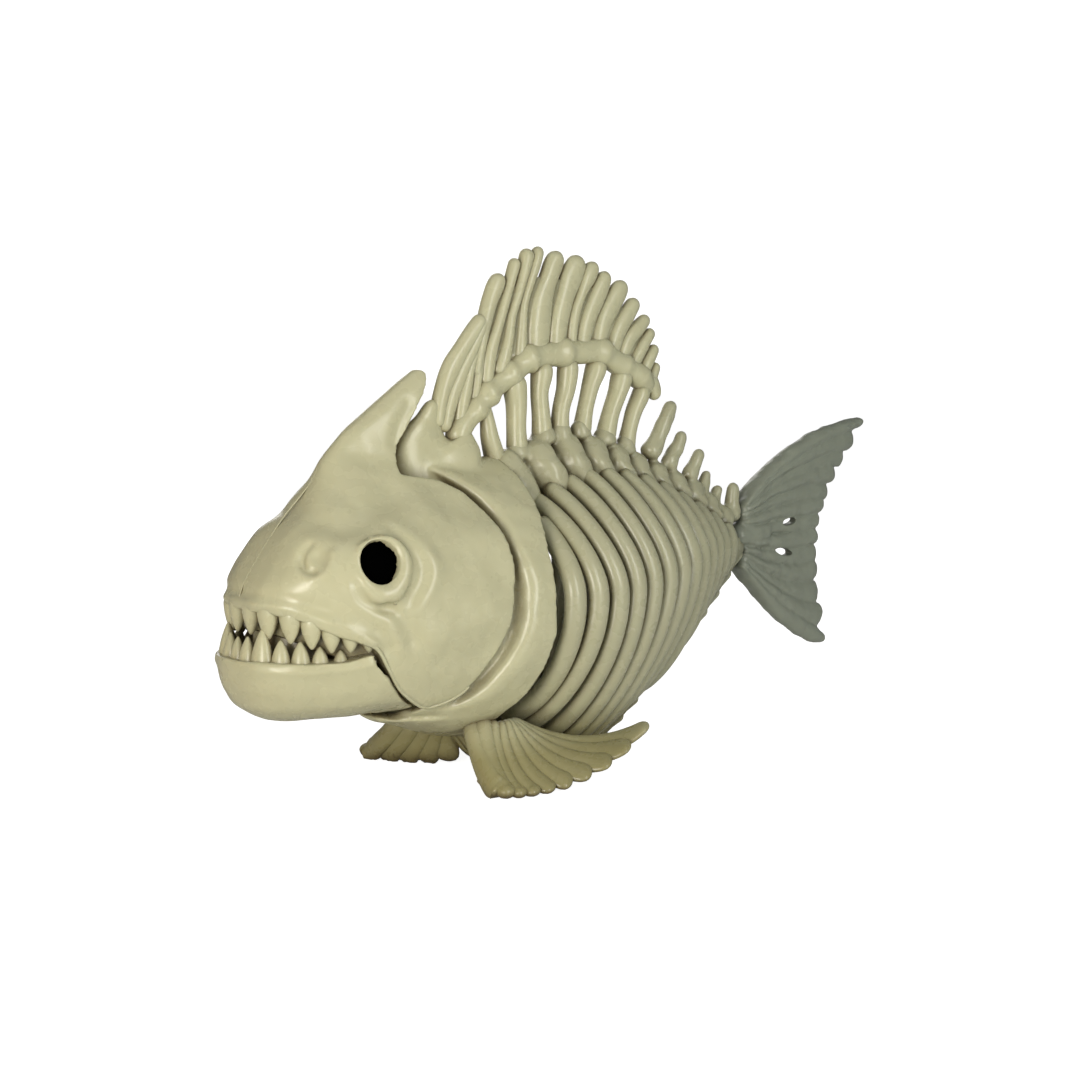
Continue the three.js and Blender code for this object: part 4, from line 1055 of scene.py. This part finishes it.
DORSAL_BAR = [  # x, z, radius along the knuckled bar
    [-66.5, 124.5, 3.8], [-63.3, 131, 4.1], [-58.5, 136.2, 3.9], [-56.2, 138.3, 4.5], [-53.2, 141.4, 4.0],
    [-50.3, 144.2, 5.0], [-47.2, 146.6, 4.0], [-42.7, 149.5, 4.1], [-39.6, 151.6, 4.9],
    [-36.5, 153.4, 4.1], [-34, 155.4, 4.3], [-30.8, 157.2, 5.3], [-27.4, 158.0, 4.4], [-22, 158.7, 4.3],
    [-17, 159.2, 4.5], [-13.2, 159.6, 5.4], [-9.6, 159.8, 4.4], [-4, 159.9, 4.3], [2, 160.2, 4.4],
    [6.4, 159.7, 5.3], [10.2, 158.0, 4.2], [15, 155.6, 4.2], [18.4, 154.2, 4.7], [21.4, 152.9, 4.0],
    [25.2, 151.1, 4.3], [28.0, 149.4, 4.5], [30.6, 147.2, 3.6], [33.7, 144.7, 3.2],
]


def ray_rows(rows, depth):
    """Bars of oval section: the radius seen at the viewing angle, and the depth, give the half-width."""
    result = []
    for x, z, seen in rows:
        seen = 1.05 * seen + 0.75
        thin = min(depth, 1.05 * seen)
        across = max(seen**2 - (thin * math.sin(VIEW_TURN)) ** 2, 0.5 * seen**2)
        result.append([x, 0.0, z, math.sqrt(across) / math.cos(VIEW_TURN), thin])
    return result


def dorsal_shapes(bm):
    for rows in DORSAL_RAYS:
        bar(bm, ray_rows(rows, RAY_HALF_DEPTH), sides=22, count=40)
    middle_bar(bm, [[x, z, 1.15 * radius] for x, z, radius in DORSAL_BAR], sides=26, count=130)
    for rows in STRUTS:
        middle_bar(bm, rows, depth=4.4, sides=22, count=30)
    roots = [rows[0][:2] for rows in DORSAL_RAYS[:-1]]
    web = []
    for rows in DORSAL_RAYS[:-1]:
        dense = smooth_path([[x, 0.0, z] for x, z, _ in rows], 20)
        web.append([dense[14][0], dense[14][2]])
    plate(bm, [*roots, *reversed(web)], -1.0, 1.0)


dorsal = shape("dorsal_rays", dorsal_shapes)
hand_over(dorsal, "dorsal_fin", "bone_plastic")

# %% [markdown]
# The breast fins are fans that the fish stands on. Three curves shape a fan: where the rays start under
# the collar, what they lean towards, and where they end. Each ray follows a parabola between them, and
# a little more than half of the gap to its neighbour gives its half-width, so the rays always meet. One
# ray is thick: it is the smooth front edge.

# %% Breast fins
BREAST_ROOTS = [
    [-60, 9, 16], [-66, 13, 19], [-70, 18, 24], [-64, 22.5, 22.5], [-59.5, 23, 23], [-57.5, 21.5, 22.5],
    [-54.5, 18, 21],
]
BREAST_MIDDLES = [
    [-60, 9.5, 6], [-70, 20, 7], [-78, 32.5, 8], [-73.5, 38, 5.5], [-61, 40, 4.8], [-44, 38.5, 3.2],
    [-24, 32, 1],
]
BREAST_TIPS = [
    [-58, 10, 0], [-72, 28, 0], [-77.8, 45, 0], [-68.5, 50, 0.2], [-51, 50, 2.5], [-29, 50.3, 9.5],
    [-2.5, 44.5, 21.5],
]
BREAST_RAYS = 14
BREAST_LEADING_RAY = 4.2  # the ray of the fin's smooth front edge, counted from the belly
RAY_OVERLAP_AHEAD = 0.72  # half-width of a ray over its gap to the next one: above 0.5 they meet
RAY_OVERLAP_BEHIND = 0.56


def curve_points(rows, count):
    """Points of a smooth curve through rows of x, y, z, spaced by the rows' own numbering."""
    rows = np.array(rows, float)
    keys = np.arange(len(rows))
    at = np.linspace(0, len(rows) - 1, count)
    return np.column_stack([smooth_table(np.column_stack([keys, column]))(at) for column in rows.T])


def fan_rays(roots, middles, tips, rays):
    """Centre line and gap to the next ray, of each ray of a fan that bends from its roots to its tips."""
    count = 4 * rays + 1
    roots, middles, tips = [curve_points(rows, count) for rows in (roots, middles, tips)]
    along = np.linspace(0.0, 1.0, 9)[:, None]
    lines = [
        (1 - along) ** 2 * root + 2 * along * (1 - along) * middle + along**2 * tip
        for root, middle, tip in zip(roots, middles, tips)
    ]
    for ray in range(rays):
        low, here, high = lines[4 * ray], lines[4 * ray + 2], lines[4 * ray + 4]
        yield here, np.linalg.norm(high - low, axis=1), Vector((high - low)[-1]).normalized()


def breast_shapes(bm, side):
    rays = fan_rays(BREAST_ROOTS, BREAST_MIDDLES, BREAST_TIPS, BREAST_RAYS)
    for ray, (line, gap, across) in enumerate(rays):
        rows = []
        for step, (x, y, z) in enumerate(line):
            share = step / 8
            leading = math.exp(-(((ray - BREAST_LEADING_RAY) / 1.1) ** 2))
            broad = RAY_OVERLAP_AHEAD if ray < BREAST_LEADING_RAY + 1 else RAY_OVERLAP_BEHIND
            half = (broad * gap[step] + 0.7 * (1 - share) + 0.4) * (1 - 0.1 * share) + 1.3 * leading
            thick = min(2.4 * (1 - share) ** 2 + 2.0, 1.6 * half) + 1.6 * leading * (1 - 0.4 * share)
            rows.append([x, side * y, max(z, thick + 0.05), thick, half])
        bar(bm, rows, flat=(across.x, side * across.y, across.z), sides=22, count=44)


for side, word in ((LEFT, "left"), (RIGHT, "right")):
    fin = shape(f"breast_rays_{word}", lambda bm: breast_shapes(bm, side))
    hand_over(fin, f"pectoral_fin_{word}", "bone_plastic")

# %% [markdown]
# The tail is a flat fan of the same kind, in the fish's middle plane. Its edge rays are thick, the rays
# between them stand high and low in turn, and the mould left two slots open near the root.

# %% Tail fin
TAIL_ROOTS = [[84.5, 94.5], [84.5, 90], [84.5, 76], [82.5, 68.5]]
TAIL_MIDDLES = [[115, 124], [112, 100], [112, 66], [120, 33]]
TAIL_TIPS = [[167, 132.5], [142, 99.5], [134.5, 70], [141.5, 25.5]]
TAIL_RAYS = 13
TAIL_STEM = [[80, 81.5, 5.4], [90, 81.5, 5.6], [98, 82, 4.8], [104, 82.2, 3.4]]  # x, z, radius
TAIL_HOLES = [[[110.5, 85.0], [119.5, 86.2]], [[106, 73.6], [117.5, 71.4]]]


def tail_shapes(bm):
    curves = [[[x, 0.0, z] for x, z in rows] for rows in (TAIL_ROOTS, TAIL_MIDDLES, TAIL_TIPS)]
    for ray, (line, gap, _) in enumerate(fan_rays(*curves, TAIL_RAYS)):
        edge = ray in (0, TAIL_RAYS - 1)
        rows = []
        for step, (x, _, z) in enumerate(line):
            share = step / 8
            wave = 0.5 * noise.noise(Vector((3.0 * share, 2.3 * ray, 5.0))) * share
            thick = 2.4 * (1 - share) ** 2 + (3.3 if edge else 2.5 + 0.9 * (ray % 2) - 0.5 * share)
            half = (0.62 * (1 - 0.72 * share**3) if edge else 0.53) * gap[step] + 0.3
            rows.append([x, 0.0, z + 2.4 * wave, half, thick])
        bar(bm, rows, sides=24, count=44)
    middle_bar(bm, TAIL_STEM, sides=20, count=24)


def tail_hole(bm, rows):
    bar(bm, [[x, 0.0, z, 1.7, 9.0] for x, z in rows], sides=16, count=16)


tail = shape("tail_rays", tail_shapes)
skin(tail, 0.55, 1)
uneven(tail, [(7.0, 0.6), (3.0, 0.25)])
for rows in TAIL_HOLES:
    cut(tail, shape("hole", lambda bm: tail_hole(bm, rows)), "DIFFERENCE")
hand_over(tail, "tail_fin", "tail_plastic")

# %% [markdown]
# Two small tools serve all materials: one turns an sRGB hex colour into linear light, the other adds a
# node with its settings and links.

# %% Material tools
def linear(hex_colour):
    """sRGB hex colour as linear RGBA."""
    parts = [int(hex_colour[i:i + 2], 16) / 255 for i in (1, 3, 5)]
    parts = [part / 12.92 if part <= 0.04045 else ((part + 0.055) / 1.055) ** 2.4 for part in parts]
    return [*parts, 1.0]


def add(tree, kind, inputs=(), **settings):
    """Adds a node, sets its properties, and fills its inputs with values or with other nodes' outputs."""
    node = tree.nodes.new(kind)
    for name, value in settings.items():
        setattr(node, name, value)
    for name, value in dict(inputs).items():
        if isinstance(value, bpy.types.NodeSocket):
            tree.links.new(value, node.inputs[name])
        else:
            node.inputs[name].default_value = value
    return node


print("mid grey in linear light:", round(linear("#808080")[0], 3))

# %% [markdown]
# The fish is injection-moulded polyethylene or polypropylene, in a dye the colour of old bone. Its skin
# is glossy, with an index near 1.5 and a little light inside. The grooves are painted brown where
# ambient occlusion finds them: painted shade. The low parts, the belly and the breast fins, are darkened
# and browned with painted shade, and the colour darkens and greys towards the tail as painted shade.

# %% Bone-coloured plastic
LOW_SHADE_COLOUR = "#cac4ac"  # painted shade, multiplied into the colour low down: the belly and the breast fins


def moulded_plastic(name, front, rear, crevice_shade_colour, gloss):
    """Moulded polyolefin: glossy skin, faint flow marks, and painted shade in the grooves, low down and
    towards the rear.
    """
    material = bpy.data.materials.new(name)
    material.use_nodes = True
    tree = material.node_tree
    shader = tree.nodes["Principled BSDF"]
    place = add(tree, "ShaderNodeTexCoord").outputs["Object"]
    cloud = add(
        tree, "ShaderNodeTexNoise", {"Vector": place, "Scale": 22.0, "Detail": 3.0, "Roughness": 0.5}
    )
    split = add(tree, "ShaderNodeSeparateXYZ", {"Vector": place})
    # Painted shade: the colour darkens from the front colour to the rear one, for light that falls off
    # towards the tail.
    along = add(
        tree, "ShaderNodeMapRange",
        {"Value": split.outputs["X"], "From Min": -0.16, "From Max": 0.17, "To Min": 0.0, "To Max": 1.0},
    )
    base = add(
        tree, "ShaderNodeMix", {"Factor": along.outputs["Result"], "A": linear(front), "B": linear(rear)},
        data_type="RGBA",
    )
    tone = add(
        tree, "ShaderNodeMapRange",
        {"Value": cloud.outputs["Fac"], "From Min": 0.35, "From Max": 0.65, "To Min": 0.965,
         "To Max": 1.02},
    )
    toned = add(
        tree, "ShaderNodeVectorMath", {0: base.outputs[2], 1: tone.outputs["Result"]}, operation="MULTIPLY"
    )
    # Painted shade: where ambient occlusion finds a groove, the colour is mixed towards the brown shade
    # colour.
    shut = add(tree, "ShaderNodeAmbientOcclusion", {"Distance": 0.009}, samples=6)
    depth = add(
        tree, "ShaderNodeMapRange",
        {"Value": shut.outputs["AO"], "From Min": 0.25, "From Max": 0.85, "To Min": 0.75, "To Max": 0.0},
    )
    ao_shaded = add(
        tree, "ShaderNodeMix",
        {"Factor": depth.outputs["Result"], "A": toned.outputs["Vector"], "B": linear(crevice_shade_colour)},
        data_type="RGBA",
    )
    # Painted shade: low down, on the belly and the breast fins, the colour is darkened and browned.
    low = add(
        tree, "ShaderNodeMapRange",
        {"Value": split.outputs["Z"], "From Min": 0.012, "From Max": 0.026, "To Min": 1.0, "To Max": 0.0},
    )
    low_shaded = add(
        tree, "ShaderNodeMix",
        {"Factor": low.outputs["Result"], "A": ao_shaded.outputs[2], "B": linear(LOW_SHADE_COLOUR)},
        data_type="RGBA", blend_type="MULTIPLY",
    )
    tree.links.new(low_shaded.outputs[2], shader.inputs["Base Color"])
    speckle = add(tree, "ShaderNodeTexNoise", {"Vector": place, "Scale": 160.0, "Detail": 2.0})
    rough = add(
        tree, "ShaderNodeMapRange",
        {"Value": speckle.outputs["Fac"], "From Min": 0.3, "From Max": 0.7, "To Min": gloss - 0.015,
         "To Max": gloss + 0.025},
    )
    tree.links.new(rough.outputs["Result"], shader.inputs["Roughness"])
    swell = add(tree, "ShaderNodeTexNoise", {"Vector": place, "Scale": 70.0, "Detail": 2.0})
    wavy = add(
        tree, "ShaderNodeBump", {"Height": swell.outputs["Fac"], "Strength": 0.16, "Distance": 0.0012}
    )
    tree.links.new(wavy.outputs["Normal"], shader.inputs["Normal"])
    shader.inputs["IOR"].default_value = 1.5
    shader.inputs["Subsurface Weight"].default_value = 0.12
    shader.inputs["Subsurface Radius"].default_value = (0.004, 0.003, 0.002)
    shader.inputs["Subsurface Scale"].default_value = 1.0
    return material


print("low painted shade in linear light:", [round(part, 2) for part in linear(LOW_SHADE_COLOUR)[:3]])

# %% [markdown]
# The eyes are matt and black. They swallow nearly all light, so only their grain is modelled.

# %% Matt black eyes
EYE_BLACK = "#020202"


def matt_black_eye():
    """Matt black in the eye sockets."""
    material = bpy.data.materials.new("matt_black_eye")
    material.use_nodes = True
    tree = material.node_tree
    shader = tree.nodes["Principled BSDF"]
    place = add(tree, "ShaderNodeTexCoord").outputs["Object"]
    grain = add(tree, "ShaderNodeTexNoise", {"Vector": place, "Scale": 900.0, "Detail": 3.0})
    tone = add(
        tree, "ShaderNodeMapRange",
        {"Value": grain.outputs["Fac"], "From Min": 0.3, "From Max": 0.7, "To Min": 0.75, "To Max": 0.95},
    )
    tree.links.new(tone.outputs["Result"], shader.inputs["Roughness"])
    shader.inputs["Base Color"].default_value = linear(EYE_BLACK)
    shader.inputs["Specular IOR Level"].default_value = 0.0
    return material


print("black paint in linear light:", round(linear(EYE_BLACK)[0], 5))

# %% [markdown]
# Four finishes in all: the head, collar and fins are a little lighter than the ribs and the spine, the
# tail is darker and greyer with painted shade, and the eyes are black. Each piece gets the finish of its
# slot.

# %% Materials on the pieces
# Each finish darkens from its front colour to its rear colour, and the tail's colours are darker and
# greyer still: painted shade, for light that falls off towards the tail. The third colour is the brown
# painted shade in the grooves.
BONE = moulded_plastic("bone_plastic", "#cbc8a4", "#bdbe9e", "#553f1c", 0.27)
BONE_SHADE = moulded_plastic("bone_plastic_shade", "#c4c19f", "#a4a68c", "#4c3b1b", 0.27)
TAIL = moulded_plastic("tail_plastic", "#9ca08c", "#868d80", "#26261c", 0.3)
EYE = matt_black_eye()
SLOT_MATERIALS = {
    "bone_plastic": BONE, "bone_plastic_shade": BONE_SHADE, "tail_plastic": TAIL, "black_eye": EYE,
}
for item in bpy.context.scene.objects:
    if item.type == "MESH" and item.name in HANDED:
        item.data.materials.clear()
        item.data.materials.append(SLOT_MATERIALS[HANDED[item.name]])
for node in frame["nodes"].values():
    for place in node.material_slots:
        place.material = BONE
print("materials:", ", ".join(SLOT_MATERIALS))

# %% [markdown]
# White studio paper under the fish, a tall soft light square on its left side, a second one beside the
# camera, and a weak one above. A dim warm one in front of the snout stands for light thrown back by the
# room, and a soft one behind lights the far side.

# %% Stage and light
floor_mesh = bpy.data.meshes.new("floor")
bm = bmesh.new()
bmesh.ops.create_circle(bm, cap_ends=True, segments=96, radius=6.0)
bm.to_mesh(floor_mesh)
bm.free()
floor = bpy.data.objects.new("floor", floor_mesh)
bpy.context.scene.collection.objects.link(floor)


def paper():
    """White studio paper, lit past white, that still takes a faint shadow under the fish."""
    material = bpy.data.materials.new("studio_paper")
    material.use_nodes = True
    tree = material.node_tree
    shader = tree.nodes["Principled BSDF"]
    shader.inputs["Base Color"].default_value = (0.8, 0.8, 0.8, 1.0)
    shader.inputs["Roughness"].default_value = 1.0
    shader.inputs["Specular IOR Level"].default_value = 0.0
    lit = add(tree, "ShaderNodeLightPath").outputs["Is Camera Ray"]
    glow = add(tree, "ShaderNodeMath", {0: lit, 1: 0.92}, operation="MULTIPLY")
    tree.links.new(glow.outputs["Value"], shader.inputs["Emission Strength"])
    shader.inputs["Emission Color"].default_value = (1.0, 1.0, 1.0, 1.0)
    return material


floor_mesh.materials.append(paper())

world = bpy.data.worlds.new("studio")
bpy.context.scene.world = world
world.use_nodes = True
seen = add(world.node_tree, "ShaderNodeLightPath").outputs["Is Camera Ray"]
level = add(
    world.node_tree, "ShaderNodeMapRange",
    {"Value": seen, "From Min": 0.0, "From Max": 1.0, "To Min": 0.15, "To Max": 1.2},
)
world.node_tree.links.new(level.outputs["Result"], world.node_tree.nodes["Background"].inputs["Strength"])
world.node_tree.nodes["Background"].inputs["Color"].default_value = (1.0, 1.0, 1.0, 1.0)


HEAD_CENTRE = Vector((-0.06, 0.0, 0.09))


def softbox(name, azimuth, elevation, distance, size, watts, colour):
    """Area light that faces the head. Azimuth 0 is square on its left side, 90 is behind its tail."""
    data = bpy.data.lights.new(name, "AREA")
    data.shape = "RECTANGLE"
    data.size, data.size_y = size
    data.energy = watts
    data.color = linear(colour)[:3]
    lamp = bpy.data.objects.new(name, data)
    turn, rise = math.radians(azimuth), math.radians(elevation)
    out = Vector((math.sin(turn) * math.cos(rise), -math.cos(turn) * math.cos(rise), math.sin(rise)))
    lamp.location = HEAD_CENTRE + distance * out
    lamp.rotation_euler = (-out).to_track_quat("-Z", "Y").to_euler()
    bpy.context.scene.collection.objects.link(lamp)


softbox("key", 6, 14, 0.75, (0.17, 0.5), 2.05, "#fffefa")
softbox("top", -10, 78, 1.0, (0.5, 0.5), 0.35, "#fffdf8")
softbox("front_fill", -56, 5, 0.8, (0.26, 0.4), 3.5, "#fff9ee")
softbox("warm_bounce", -115, 0, 0.9, (0.5, 0.4), 0.5, "#dda35c")
softbox("far_side", 152, 24, 1.0, (0.6, 0.6), 2.2, "#fffdf8")
bpy.context.scene.view_settings.view_transform = "Standard"
